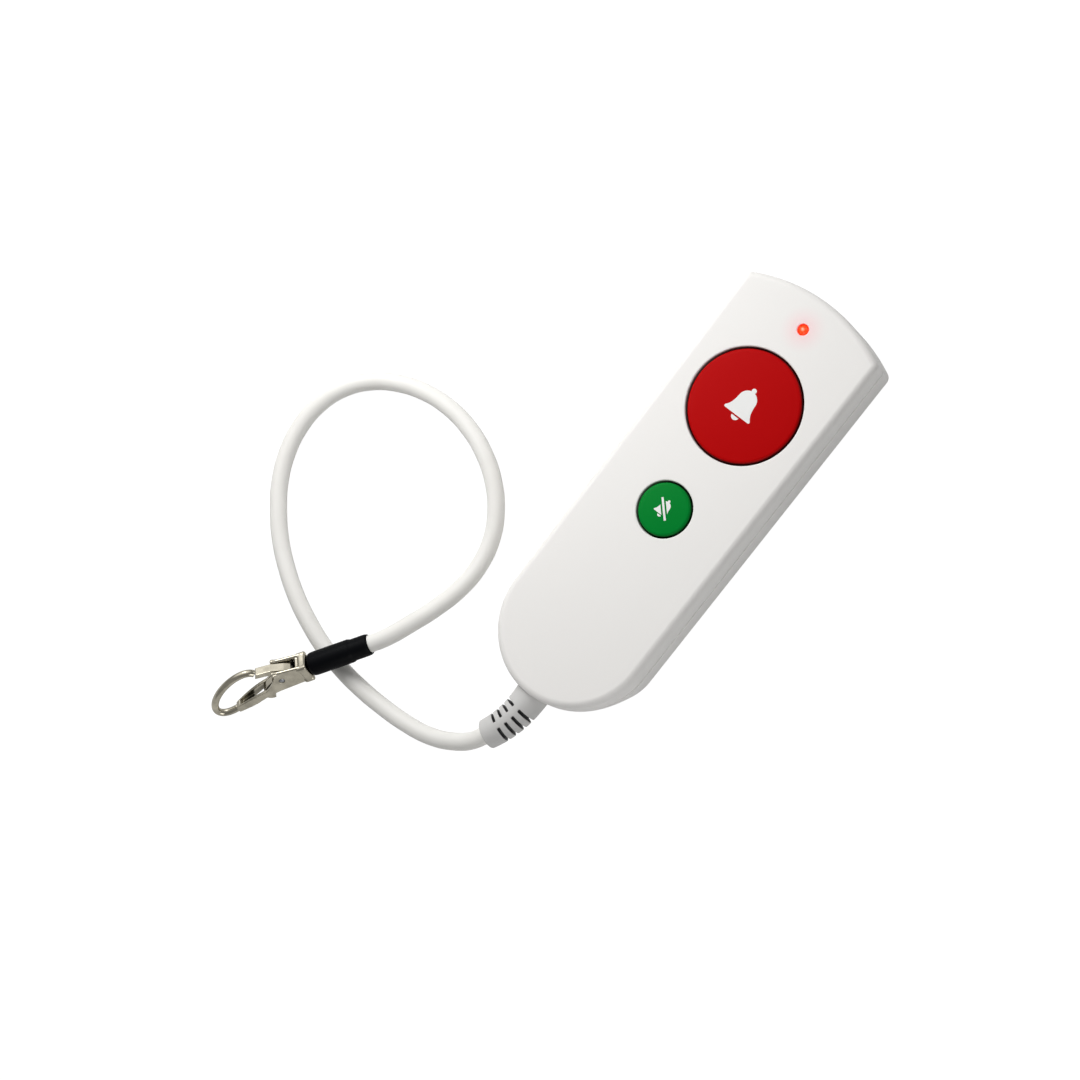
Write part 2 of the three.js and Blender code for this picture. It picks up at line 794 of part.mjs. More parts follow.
function statusLamp() {
  const tip = bodyThickness + lampProud;
  const base = tip - lampHeight;
  const domeStart = tip - lampRadius;
  const dome = [];
  for (let i = 0; i <= lampDomeSteps; i += 1) {
    const angle = (Math.PI / 2) * (i / lampDomeSteps);
    dome.push([lampRadius * Math.cos(angle), domeStart + lampRadius * Math.sin(angle)]);
  }
  const body = revolve(
    [
      [0, base],
      [lampFlangeRadius, base],
      [lampFlangeRadius, base + lampFlangeHeight],
      [lampRadius, base + lampFlangeHeight],
      ...dome.slice(0, -1),
      [0, tip],
    ],
    0,
    lampY,
    smallFacets,
  );
  const legs = [-lampLegX, lampLegX].map((x) =>
    block(
      x - lampLegHalf,
      x + lampLegHalf,
      lampY - lampLegHalf,
      lampY + lampLegHalf,
      boardBottom - seatGap,
      base + lampFlangeHeight / 2,
    ),
  );
  return join(body, ...legs);
}

function lampSpacer() {
  const low = boardTop + seatGap;
  const high = bodyThickness + lampProud - lampHeight - seatGap;
  const holes = [-lampLegX, lampLegX].map((x) => post(x, lampY, low - overrun, high + overrun, lampLegHoleRadius));
  return cut(post(0, lampY, low, high, lampFlangeRadius + seatGap), ...holes);
}

// Parts soldered under the board
const moduleWidth = 16;
const moduleLength = 20;
const moduleThickness = 0.8;
const moduleY = callY;
const shieldSize = 12.6;
const shieldHeight = 2.2;
const chipX = -9;
const chipPlaceShare = 0.0945;
const chipY = bodyLength * chipPlaceShare;
const chipWidth = 6.2;
const chipLength = 7.8;
const chipHeight = 1.5;
const crystalX = 8;
const crystalY = boardTailY + 11;
const crystalRadius = 2.2;
const crystalSpan = 6.4;
const crystalHeight = 3.2;
const tankX = -10;
const tankY = boardTailY + 9;
const tankRadius = 3.1;
const tankHeight = 4.6;
const antennaRadius = 2;
const antennaWire = 0.4;
const antennaTurns = 7;
const antennaLength = 12.6;
const antennaY = boardTopY - 9.5;

function underBoard(width, length, height, x, y, level = boardBottom - seatGap) {
  return block(x - width / 2, x + width / 2, y - length / 2, y + length / 2, level - height, level);
}

function crystalCan() {
  const high = boardBottom - seatGap;
  const low = high - crystalHeight;
  const half = crystalSpan / 2;
  return join(
    post(crystalX - half, crystalY, low, high, crystalRadius),
    post(crystalX + half, crystalY, low, high, crystalRadius),
    block(crystalX - half, crystalX + half, crystalY - crystalRadius, crystalY + crystalRadius, low, high),
  );
}

// The antenna: a coil along X whose end turns up to the board
function antennaCoil() {
  const axisZ = boardBottom - seatGap - antennaRadius - antennaWire - seatGap;
  const turns = coil(antennaRadius, antennaWire, antennaLength, antennaTurns);
  const placed = turns.rotate([0, 90, 0]).translate([-antennaLength / 2, antennaY, axisZ]);
  const legX = -antennaLength / 2;
  const leg = post(legX, antennaY, axisZ - antennaRadius, boardBottom - seatGap, antennaWire * 0.9, coilSides * 2);
  return join(placed, leg);
}

// Battery cell and its contacts
function batteryCell() {
  const shoulder = cellTopY - cellNubLength;
  return join(
    rodY(0, cellTailY, shoulder, cellZ, cellRadius, facets),
    rodY(0, shoulder - cellNubLength, cellTopY, cellZ, cellNubRadius),
  );
}

const contactHalfWidth = 4.6;
const contactTop = bayHeight + 1.6;
const contactTagHalfWidth = 1.5;
const contactTagX = 2.4;
const contactSpringTurns = 3.5;
const contactWire = 0.3;
const contactSpringRadius = 3.4;
const contactSpringEndRadius = 2.2;

function contactPlate(y0, y1, tagX) {
  const low = cellZ - contactHalfWidth;
  return join(
    block(-contactHalfWidth, contactHalfWidth, y0, y1, low, cellZ + contactHalfWidth),
    block(tagX - contactTagHalfWidth, tagX + contactTagHalfWidth, y0, y1, cellZ, contactTop),
  );
}

function plusContact() {
  return contactPlate(plusPlateY, plusPlateY + contactThickness, -contactTagX);
}

function minusContact() {
  const plate = contactPlate(minusPlateY, minusPlateY + contactThickness, contactTagX);
  const start = minusPlateY + contactThickness - contactWire / 2;
  const reach = cellTailY - seatGap - contactWire - start;
  const spring = coil(contactSpringRadius, contactWire, reach, contactSpringTurns, contactSpringEndRadius);
  return join(plate, spring.rotate([-90, 0, 0]).translate([0, start, cellZ]));
}

const leadRadius = 0.6;
const leadSides = 8;
const leadSteps = 16;
const leadLiftZ = contactTop - 0.6;
const leadLandY = boardTailY + 2;

function leadWire(points) {
  return wire(new THREE.CatmullRomCurve3(points), leadSteps, leadRadius, leadSides);
}

function plusLead() {
  const x = -contactTagX;
  const start = plusPlateY + contactThickness + seatGap;
  return leadWire([
    new THREE.Vector3(x, start, leadLiftZ),
    new THREE.Vector3(x, start + leadRadius * 3, leadLiftZ),
    new THREE.Vector3(x, leadLandY - leadRadius, leadLiftZ - leadRadius / 2),
    new THREE.Vector3(x, leadLandY, leadLiftZ - 2 * leadRadius),
    new THREE.Vector3(x, leadLandY, boardTop + seatGap),
  ]);
}

function minusLead() {
  const laneX = bayHalfWidth + bayWall + seatGap + 2 * leadRadius;
  const startX = contactTagX + contactTagHalfWidth + seatGap;
  const startY = minusPlateY + contactThickness / 2;
  return leadWire([
    new THREE.Vector3(startX, startY, leadLiftZ),
    new THREE.Vector3(laneX - 3 * leadRadius, startY, leadLiftZ),
    new THREE.Vector3(laneX, startY + 3 * leadRadius, leadLiftZ - leadRadius / 2),
    new THREE.Vector3(laneX, bayTopY - 2 * leadRadius, leadLiftZ - leadRadius),
    new THREE.Vector3(laneX, leadLandY - 2 * leadRadius, leadLiftZ - leadRadius),
    new THREE.Vector3(laneX, leadLandY, leadLiftZ - 2 * leadRadius),
    new THREE.Vector3(laneX, leadLandY, boardTop + seatGap),
  ]);
}

// The relief's axis: straight through the tail wall, then a bend to -X that droops a little
class ReliefCurve extends THREE.Curve {
  constructor(rootY) {
    super();
    this.rootY = rootY;
  }
  getPoint(share, target = new THREE.Vector3()) {
    const straight = this.rootY - reliefBendStart;
    const along = share * (straight + reliefBendLength);
    if (along <= straight) {
      return target.set(0, this.rootY - along, partingHeight);
    }
    const bent = (along - straight) / reliefBendLength;
    const radius = reliefBendLength / reliefBendAngle;
    const angle = reliefBendAngle * bent;
    return target.set(
      -radius * (1 - Math.cos(angle)),
      reliefBendStart - radius * Math.sin(angle),
      partingHeight - reliefDroop * bent * bent,
    );
  }
}

const reliefSteps = 12;
const reliefSides = 20;
const slotCount = 4;
const slotPitch = 2.5;
const slotWidth = 1;
const slotStart = 5.4;
const slotSpineHalf = 1.3;
const slotFloorRadius = cordRadius + 0.8;
const reliefMouthEase = 0.5;

function bendRelief() {
  const curve = new ReliefCurve(reliefRootY);
  const length = curve.getLength();
  const wallShare = (reliefRootY + halfLength) / length;
  const radiusAt = (share) => {
    const past = THREE.MathUtils.clamp((share - wallShare) / (1 - wallShare), 0, 1);
    const ease = share > 1 - reliefMouthEase / length ? reliefMouthEase : 0;
    return THREE.MathUtils.lerp(reliefRadius, reliefTipRadius, past) - ease;
  };
  const outer = taperedBar(curve, reliefSteps, radiusAt, reliefSides);
  const core = taperedBar(curve, reliefSteps, () => slotFloorRadius, smallFacets);
  const boreCurve = new ReliefCurve(reliefRootY + overrun);
  const bore = taperedBar(boreCurve, reliefSteps, () => cordRadius + seatGap, smallFacets);
  const mouth = taperedBar(
    new THREE.LineCurve3(curve.getPointAt(1 - overrun / length), curve.getPointAt(1).add(curve.getTangentAt(1))),
    1,
    () => cordRadius + seatGap,
    smallFacets,
  );
  const slots = [];
  for (let i = 0; i < slotCount; i += 1) {
    const share = (reliefRootY + halfLength + slotStart + i * slotPitch) / length;
    const centre = curve.getPointAt(share);
    const along = curve.getTangentAt(share);
    const turn = Math.atan2(along.x, -along.y);
    [-1, 1].forEach((side) => {
      const reach = 2 * reliefRadius;
      const geometry = new THREE.BoxGeometry(reach, slotWidth, 2 * reach);
      geometry.translate(side * (slotSpineHalf + reach / 2), 0, 0);
      geometry.rotateZ(turn);
      geometry.translate(centre.x, centre.y, centre.z);
      slots.push(solid(geometry));
    });
  }
  const flangeShape = new THREE.CylinderGeometry(1, 1, reliefFlangeThickness, reliefSides);
  flangeShape.scale(reliefFlangeHalfWidth, 1, reliefFlangeHalfHeight);
  flangeShape.translate(0, reliefFlangeY + reliefFlangeThickness / 2, partingHeight);
  const flange = solid(flangeShape);
  return cut(join(cut(outer, ...slots), core, flange), bore, mouth);
}

function cordStop() {
  const inner = cordRadius + seatGap;
  return cut(
    rodY(0, stopY, stopY + stopLength, partingHeight, inner + stopWall),
    rodY(0, stopY - overrun, stopY + stopLength + overrun, partingHeight, inner),
  );
}

const cordSides = 12;

function cordInnerEnd() {
  const curve = new ReliefCurve(stopY + stopLength);
  return taperedBar(curve, reliefSteps, () => cordRadius, cordSides);
}

// The cord's free route, from the relief's mouth, round its loop on the surface and up over
// itself into the sleeve
const cordRoute = [
  [-4.15, -85.97, 9.04],
  [-6.6, -89.9, 8.4],
  [-11.3, -93.7, 7.3],
  [-18.9, -97.2, 5.4],
  [-27.3, -99, 3.7],
  [-36, -99.8, 2.8],
  [-44.9, -99.9, 2.65],
  [-53.8, -99.2, 2.65],
  [-62.5, -97.6, 2.65],
  [-71.1, -94.9, 2.65],
  [-79.3, -91.4, 2.65],
  [-87.1, -86.9, 2.65],
  [-94.3, -81.6, 2.65],
  [-100.6, -75.3, 2.65],
  [-106, -68.2, 2.65],
  [-109.8, -60.2, 2.65],
  [-111.6, -51.6, 2.65],
  [-111, -42.9, 2.65],
  [-107.8, -34.9, 2.65],
  [-102.1, -28.3, 2.65],
  [-94.6, -23.6, 2.65],
  [-86, -20.8, 2.65],
  [-77.2, -20, 2.65],
  [-68.4, -21.1, 2.65],
  [-60, -24, 2.65],
  [-52.3, -28.6, 2.65],
  [-46, -34.7, 2.65],
  [-41.6, -42, 2.65],
  [-39.4, -50.2, 3.1],
  [-39.2, -58.7, 4.4],
  [-40.6, -67, 6.4],
  [-43.1, -75.2, 8.3],
  [-46.4, -83.3, 9.35],
  [-48.96, -87.33, 9.34],
  [-52.75, -92.85, 9.22],
];
const cordSteps = 44;

function freeCord() {
  const curve = new THREE.CatmullRomCurve3(cordRoute.map((point) => new THREE.Vector3(...point)));
  return wire(curve, cordSteps, cordRadius, cordSides);
}

// Clip: modelled along +X from the collar's back face, opening side up (+Z), then placed
const collarLength = 2.8;
const collarHalfHeight = 3.6;
const collarHalfWidth = 3.3;
const collarEase = 1;
const shankRadius = 1.9;
const shankLength = 8;
const bodyHalfWidth = 2.7;
const bodyFrontX = 10.6;
const bodyNoseZ = 4.4;
const bodyLowZ = -3.5;
const wallThickness = 1.05;
const channelHalfWidth = bodyHalfWidth - wallThickness;
const wallFootX = 15.2;
const wallFootZ = -2;
const armBendX = 20;
const armBendZ = -5;
const armRimRise = 2.2;
const armBendWidthShare = 0.84;
const armRimShare = 1.5;
const troughEndShare = 0.6;
const ringWire = 1.1;
const hookCentreX = 24.5;
const hookCentreZ = -0.9;
const hookHalfLength = 7.85;
const hookHalfHeight = 6.8;
const hookLeanShare = 0.62;
const hookDroopShare = 0.18;
const hookNoseAngle = THREE.MathUtils.degToRad(136);
const hookRootAngle = THREE.MathUtils.degToRad(-100);
const railRadius = 0.75;
const pivotX = 9;
const pivotZ = 0.6;
const pinRadius = 0.8;
const gateGap = 0.3;
const gateHalfWidth = channelHalfWidth - gateGap;
const gateOpenAngle = THREE.MathUtils.degToRad(22);
const ringSides = 12;
const ringSteps = 26;

// The hook's round wire: a leaning, drooping oval from its nose round the end to the lower arm
class HookCurve extends THREE.Curve {
  getPoint(share, target = new THREE.Vector3()) {
    const angle = THREE.MathUtils.lerp(hookNoseAngle, hookRootAngle, share);
    const rise = hookHalfHeight * Math.sin(angle);
    const run = hookHalfLength * Math.cos(angle);
    return target.set(
      hookCentreX + run - hookLeanShare * rise,
      0,
      hookCentreZ + rise - hookDroopShare * run,
    );
  }
}

const hookNose = new HookCurve().getPoint(0);
const armRoot = new HookCurve().getPoint(1);

function hookWire() {
  return wire(new HookCurve(), ringSteps, ringWire, ringSides);
}

// Seen from above: full width as far as the walls' front, then narrowing to the hook's root
function clipPlan(half, endX, endHalf) {
  return prism(
    [
      [-overrun, -half],
      [bodyFrontX, -half],
      [armBendX, -half * armBendWidthShare],
      [endX, -endHalf],
      [endX, endHalf],
      [armBendX, half * armBendWidthShare],
      [bodyFrontX, half],
      [-overrun, half],
    ],
    -3 * collarHalfHeight,
    3 * collarHalfHeight,
  );
}

// Seen from the side: the walls, their hollowed front edge and the arm under the opening
function clipSide() {
  const outline = new THREE.Shape();
  outline.moveTo(collarLength / 2, -collarHalfHeight + ringWire / 2);
  outline.lineTo(bodyFrontX, bodyLowZ);
  outline.quadraticCurveTo(wallFootX, bodyLowZ - ringWire / 4, armBendX, armBendZ - ringWire);
  outline.lineTo(armRoot.x, armRoot.z - ringWire);
  outline.lineTo(armRoot.x, armRoot.z + ringWire * armRimShare);
  outline.quadraticCurveTo(armBendX, armBendZ + armRimRise, wallFootX, wallFootZ);
  outline.quadraticCurveTo(bodyFrontX + ringWire / 2, pivotZ, bodyFrontX - ringWire / 3, bodyNoseZ - railRadius);
  outline.lineTo(bodyFrontX - ringWire / 3, bodyNoseZ);
  outline.lineTo(collarLength / 2, collarHalfHeight - ringWire / 2);
  return slab(outline, 2 * bodyHalfWidth);
}

// The trough between the walls, open at the top, that runs out before the hook's root
function clipChannel() {
  const startX = collarLength + wallThickness / 2;
  const topZ = 2 * collarHalfHeight;
  const trough = slab(
    [
      [startX, topZ],
      [startX, -collarHalfHeight + ringWire / 2 + wallThickness],
      [bodyFrontX, bodyLowZ + wallThickness],
      [wallFootX, bodyLowZ],
      [armBendX, armBendZ - ringWire + wallThickness],
      [armRoot.x - 2 * ringWire, armRoot.z + ringWire],
      [armRoot.x - ringWire, armRoot.z + 2 * ringWire],
      [armRoot.x, topZ],
    ],
    2 * channelHalfWidth,
  );
  return trough.intersect(clipPlan(channelHalfWidth, armRoot.x, ringWire * troughEndShare));
}

function clipBody() {
  const collar = slab(
    [
      [0, -collarHalfHeight + collarEase],
      [collarEase / 2, -collarHalfHeight],
      [collarLength, -collarHalfHeight],
      [collarLength, collarHalfHeight],
      [collarEase / 2, collarHalfHeight],
      [0, collarHalfHeight - collarEase],
    ],
    2 * collarHalfWidth,
  );
  const collarReach = Math.hypot(collarHalfHeight, collarHalfWidth) - collarEase;
  const collarRound = rodX(-overrun, collarLength + overrun, 0, 0, collarReach, facets);
  const shank = rodX(-shankLength, collarLength / 2, 0, 0, shankRadius);
  const rails = [-1, 1].map((sign) => {
    const run = bodyFrontX - collarLength;
    const geometry = new THREE.CapsuleGeometry(railRadius, run, 3, 8);
    const rise = bodyNoseZ - collarHalfHeight;
    geometry.rotateZ(-Math.PI / 2);
    geometry.rotateY(-Math.atan2(rise, run));
    const y = sign * (channelHalfWidth + wallThickness / 2);
    const middleX = (bodyFrontX + collarLength) / 2 - railRadius / 2;
    geometry.translate(middleX, y, (bodyNoseZ + collarHalfHeight) / 2 - railRadius / 4);
    return solid(geometry);
  });
  const slot = block(
    pivotX - 2 * ringWire,
    armBendX + ringWire,
    -channelHalfWidth,
    channelHalfWidth,
    -3 * collarHalfHeight,
    -collarHalfHeight / 2,
  );
  const slotPlan = clipPlan(channelHalfWidth, armRoot.x, ringWire * troughEndShare);
  const pinHole = rodAcross(pivotX, pivotZ, pinRadius + gateGap / 2, bodyHalfWidth + overrun);
  const walls = join(clipSide().intersect(clipPlan(bodyHalfWidth, armRoot.x, ringWire)), ...rails);
  const base = cut(walls, clipChannel(), slot.intersect(slotPlan));
  return cut(join(base, collar.intersect(collarRound), shank, hookWire()), pinHole);
}

// A cylinder across the clip, along Y
function rodAcross(x, z, radius, half, sides = smallFacets) {
  const geometry = new THREE.CylinderGeometry(radius, radius, 2 * half, sides);
  geometry.translate(x, 0, z);
  return solid(geometry);
}

const gateThickness = 1.9;
const gateTailX = collarLength + 2.2;
const gateNoseDropShare = 0.85;
const tabTipX = 17;
const tabTipZ = -7.3;
const tabPassZ = -4.5;
const tabThickness = 2.2;
const tabWidthShare = 0.9;

// The trigger: gate slab from the hook's nose to its tail between the rails, and the curved
// web that passes the lower arm as the thumb tab. The nose is an arc about the pivot, so that
// it swings in past the hook.
const gateReach = Math.hypot(hookNose.x - pivotX, hookNose.z - pivotZ) - 1.4 * gateGap;
const gateNoseTopZ = hookNose.z + ringWire / 2;
const gateNoseSteps = 3;

function clipGate() {
  const nose = [];
  for (let i = 0; i <= gateNoseSteps; i += 1) {
    const z = gateNoseTopZ - (gateThickness * gateNoseDropShare * i) / gateNoseSteps;
    nose.push([pivotX + Math.sqrt(gateReach ** 2 - (z - pivotZ) ** 2), z]);
  }
  const slabTopTail = collarHalfHeight - ringWire / 6;
  const gate = slab(
    [
      ...nose.reverse(),
      [bodyFrontX, gateNoseTopZ - ringWire / 2],
      [gateTailX + gateThickness, slabTopTail],
      [gateTailX, slabTopTail - gateThickness / 2],
      [gateTailX + gateThickness / 2, slabTopTail - gateThickness],
      [bodyFrontX, gateNoseTopZ - ringWire / 2 - gateThickness],
    ],
    2 * gateHalfWidth,
  );
  const heelX = pivotX - 1.8 * pinRadius;
  const webFrontX = pivotX + 3.2 * pinRadius;
  const tab = new THREE.Shape();
  tab.moveTo(heelX, gateNoseTopZ - ringWire - gateThickness / 2);
  tab.lineTo(heelX, pivotZ - 2 * pinRadius);
  tab.quadraticCurveTo(heelX + pinRadius, tabPassZ + pinRadius, tabTipX - 2 * tabThickness, tabPassZ);
  tab.quadraticCurveTo(tabTipX - tabThickness, tabPassZ - pinRadius, tabTipX - tabThickness, tabTipZ);
  tab.quadraticCurveTo(tabTipX, tabTipZ, tabTipX + tabThickness / 4, tabPassZ - tabThickness / 3);
  tab.quadraticCurveTo(tabTipX, tabPassZ + tabThickness, webFrontX + tabThickness / 2, pivotZ - pinRadius);
  tab.quadraticCurveTo(webFrontX, pivotZ + pinRadius, webFrontX, gateNoseTopZ - ringWire - gateThickness / 2);
  const web = slab(tab, 2 * gateHalfWidth * tabWidthShare);
  return cut(join(gate, web), rodAcross(pivotX, pivotZ, pinRadius + gateGap / 2, bodyHalfWidth));
}

function clipPin() {
  return rodAcross(pivotX, pivotZ, pinRadius, bodyHalfWidth);
}

const triggerSpringRadius = 0.9;
const triggerSpringWire = 0.2;
const triggerSpringTurns = 4;

// The spring between the channel's back wall and the trigger's heel
function clipSpring() {
  const start = collarLength + wallThickness / 2 + seatGap + triggerSpringWire;
  const heel = pivotX - 1.9 * pinRadius - seatGap - triggerSpringWire;
  const spring = coil(triggerSpringRadius, triggerSpringWire, heel - start, triggerSpringTurns);
  return spring.rotate([0, 90, 0]).translate([start, 0, pivotZ - pinRadius]);
}

// The sleeve: stepped black tube that takes the cord's end and the clip's shank
const sleeveRadius = 3.5;
const sleeveCordRadius = 3.2;
const sleeveNeckRadius = 2.9;
const sleeveNeckLength = 2.4;
const sleeveStepAt = 13.2;
const sleeveStepLength = 0.7;
const sleeveLipEase = 0.35;
const sleeveCordDepth = 7;

function cordSleeve() {
  const boreRadius = cordRadius + seatGap;
  const socketRadius = shankRadius + seatGap;
  const points = [
    [0, -sleeveLength + sleeveCordDepth],
    [boreRadius, -sleeveLength + sleeveCordDepth],
    [boreRadius, -sleeveLength],
    [sleeveCordRadius - sleeveLipEase, -sleeveLength],
    [sleeveCordRadius, -sleeveLength + sleeveLipEase],
    [sleeveCordRadius, -sleeveStepAt - sleeveStepLength],
    [sleeveRadius, -sleeveStepAt],
    [sleeveRadius, -seatGap - sleeveNeckLength],
    [sleeveNeckRadius, -seatGap - sleeveNeckLength / 4],
    [sleeveNeckRadius - sleeveLipEase, -seatGap],
    [socketRadius, -seatGap],
    [socketRadius, -shankLength - seatGap],
    [0, -shankLength - seatGap],
  ];
  const profile = points.map(([radius, x]) => new THREE.Vector2(radius, x));
  const geometry = new THREE.LatheGeometry(profile, reliefSides);
  geometry.rotateZ(-Math.PI / 2);
  return solid(geometry);
}

const handset = new THREE.Group();

function place(name, made, material) {
  handset.add(mesh(name, made, material));
}

place("front_cover", frontCover(), whiteShell);
place("rear_cover", rearCover(), whiteShell);
place("battery_door", batteryDoor(), whiteShell);
place("call_button", cap(callY, callRadius, callSkirtWall, callCrown, callSpringRadius, callSpringWire), redCap);
place(
  "cancel_button",
  cap(cancelY, cancelRadius, cancelSkirtWall, cancelCrown, cancelSpringRadius, cancelSpringWire),
  greenCap,
);
place("call_button_spring", capSpring(callY, callCrown, callSpringRadius, callSpringWire), steel);
place("cancel_button_spring", capSpring(cancelY, cancelCrown, cancelSpringRadius, cancelSpringWire), steel);
place("call_switch", switchBody(callY), blackPlastic);
place("cancel_switch", switchBody(cancelY), blackPlastic);
place("call_switch_plunger", switchPlunger(callY, callTravel), blackPlastic);
place("cancel_switch_plunger", switchPlunger(cancelY, cancelTravel), blackPlastic);
place("circuit_board", circuitBoard(), boardLaminate);
place("status_lamp", statusLamp(), lampPlastic);
place("lamp_spacer", lampSpacer(), blackPlastic);
place("radio_module", underBoard(moduleWidth, moduleLength, moduleThickness, 0, moduleY), boardLaminate);
place(
  "module_shield",
  underBoard(shieldSize, shieldSize, shieldHeight, 0, moduleY, boardBottom - 2 * seatGap - moduleThickness),
  steel,
);
place("controller_chip", underBoard(chipWidth, chipLength, chipHeight, chipX, chipY), blackPlastic);
place("crystal_can", crystalCan(), steel);
place(
  "capacitor",
  post(tankX, tankY, boardBottom - seatGap - tankHeight, boardBottom - seatGap, tankRadius),
  blackPlastic,
);
place("antenna_coil", antennaCoil(), brass);
place("battery", batteryCell(), cellWrap);
place("battery_plus_contact", plusContact(), steel);
place("battery_minus_contact", minusContact(), steel);
place("battery_lead_red", plusLead(), redWire);
place("battery_lead_black", minusLead(), blackWire);
screwPlaces.forEach(([x, y], i) => {
  const made = screw(
    x, y, screwHeadSunk, screwHeadRadius, screwHeadHeight, screwShankRadius, screwLength - seatGap,
  );
  place(`housing_screw_${i + 1}`, made, steel);
});
boardScrewPlaces.forEach(([x, y], i) => {
  const headLow = boardBottom - seatGap - boardScrewHeadHeight;
  const made = screw(
    x, y, headLow, boardScrewHeadRadius, boardScrewHeadHeight, boardScrewRadius, boardScrewDepth,
  );
  place(`board_screw_${i + 1}`, made, steel);
});
place("strain_relief", bendRelief(), reliefPlastic);
place("cord_stop", cordStop(), steel);
place("cord_inner_end", cordInnerEnd(), cordJacket);
place("cord", freeCord(), cordJacket);

const clip = new THREE.Group();
clip.rotation.set(clipRoll, clipPitch, clipHeading, "ZYX");
clip.position.copy(clipPlace);
clip.add(
  mesh("cord_sleeve", cordSleeve(), blackRubber),
  mesh("clip_body", clipBody(), nickel),
  mesh("clip_gate", clipGate(), nickel),
  mesh("clip_pin", clipPin(), steel),
  mesh("clip_spring", clipSpring(), steel),
);
handset.add(clip);

export default handset;
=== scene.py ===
"""Wireless call handset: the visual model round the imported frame, with its studio and camera."""
import json
from math import atan2, cos, degrees, hypot, pi, radians, sin, sqrt

import bmesh
import bpy
from mathutils import Euler, Matrix, Vector


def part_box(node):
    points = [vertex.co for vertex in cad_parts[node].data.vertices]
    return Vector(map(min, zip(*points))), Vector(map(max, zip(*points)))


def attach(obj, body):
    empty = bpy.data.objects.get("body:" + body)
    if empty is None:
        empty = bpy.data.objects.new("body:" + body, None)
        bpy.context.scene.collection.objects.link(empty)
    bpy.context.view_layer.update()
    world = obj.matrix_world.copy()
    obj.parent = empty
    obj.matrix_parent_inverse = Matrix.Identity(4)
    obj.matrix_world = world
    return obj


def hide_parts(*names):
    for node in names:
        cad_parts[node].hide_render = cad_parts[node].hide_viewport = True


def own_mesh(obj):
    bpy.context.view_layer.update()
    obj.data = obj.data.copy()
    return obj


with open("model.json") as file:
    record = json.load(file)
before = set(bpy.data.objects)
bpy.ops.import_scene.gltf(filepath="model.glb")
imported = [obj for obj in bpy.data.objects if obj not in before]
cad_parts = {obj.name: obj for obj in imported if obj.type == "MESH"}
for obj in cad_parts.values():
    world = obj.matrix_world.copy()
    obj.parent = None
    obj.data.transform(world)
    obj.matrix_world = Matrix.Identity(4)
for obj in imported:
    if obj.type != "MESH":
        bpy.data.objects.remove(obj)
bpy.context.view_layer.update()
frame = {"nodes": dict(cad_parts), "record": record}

MM = 0.001
FULL_TURN = 2 * pi
QUARTER_TURN = pi / 2

# Housing, in millimetres, as the solids have it, where a HALF is half of a width
BODY_LENGTH = 137.6
BODY_THICK = 18.0
TOP_WIDTH = 48.0
TAIL_WIDTH = 46.4
TOP_ARC_RADIUS = 52.0
TOP_CORNER_RADIUS = 2.4
PARTING = 10.4
PARTING_GAP = 0.3
FACE_EDGE_RADIUS = 2.1
BASE_EDGE_RADIUS = 2.4
SHELL_WALL = 2.0
FACE_WALL = 2.0
FLOOR_WALL = 2.0
BASE_TOP_WIDTH = 47.6
BASE_TAIL_WIDTH = 44.6
BASE_TAIL_RISE = 7.6
BOAT_TAIL_POWER = 1.6
HALF_LENGTH = BODY_LENGTH / 2
FRONT_RIM = PARTING + 0.07
REAR_RIM = PARTING - 0.07
RIM_UNDERCUT = 0.36
RIM_UNDERCUT_HEIGHT = 0.5
REAR_EASE = 0.12
FACE_INSIDE = BODY_THICK - FACE_WALL
LIP_HEIGHT = 1.1
LIP_INSET = 1.2
LIP_GAP = 0.3
SEAT_GAP = 0.3
OVERRUN = 1.0

# Buttons, lamp, screws and board posts
CALL_Y = 32.0
CALL_RADIUS = 16.5
CALL_CROWN = 0.5
CANCEL_Y = -4.4
CANCEL_RADIUS = 7.7
CANCEL_CROWN = 0.3
CAP_GAP = 0.55
CAP_PROUD = 0.8
CAP_FLANGE_REACH = 2.1
CAP_FLANGE_HEIGHT = 1.2
CAP_RIM_RADIUS = 0.9
CAP_TOP_WALL = 1.6
CAP_STEM_RADIUS = 2.4
PLUNGER_TOP = 14.6
LAMP_Y = 58.7
LAMP_RADIUS = 1.5
LAMP_HOLE_RADIUS = 1.7
SCREW_PLACES = ((18.0, 57.0), (-18.0, 57.0), (16.3, -40.0), (-16.3, -40.0))
BOSS_RADIUS = 3.1
SCREW_HEAD_LOW = 0.7
SCREW_SEAT = 2.5
SCREW_HOLE_RADIUS = 2.6
SHANK_HOLE_RADIUS = 1.55
BOARD_TOP = 9.6
BOARD_POSTS = ((12.0, 8.26), (-12.0, 8.26), (11.0, 55.0), (-11.0, 55.0))
BOARD_POST_RADIUS = 2.6

# Battery bay and door
DOOR_HALF = 12.0
DOOR_THICK = 1.2
DOOR_TOP_Y = -17.0
DOOR_GAP = 0.3
DOOR_TRAVEL = 6.0
LEDGE_TOP = 2.8
BAY_HALF = 5.9
BAY_WALL = 1.2
BAY_TOP_Y = -19.4
BAY_TAIL_Y = -53.2
BAY_HEIGHT = 11.4
HOOK_X = 8.5
HOOK_STEM = 1.0
HOOK_REACH = 1.2
HOOK_LENGTH = 4.0
HOOK_THICK = 0.8
HOOK_YS = (-25.4, -43.2)
GRIP_START_Y = -24.0
GRIP_PITCH = 2.0
GRIP_COUNT = 5
GRIP_HALF = 6.0

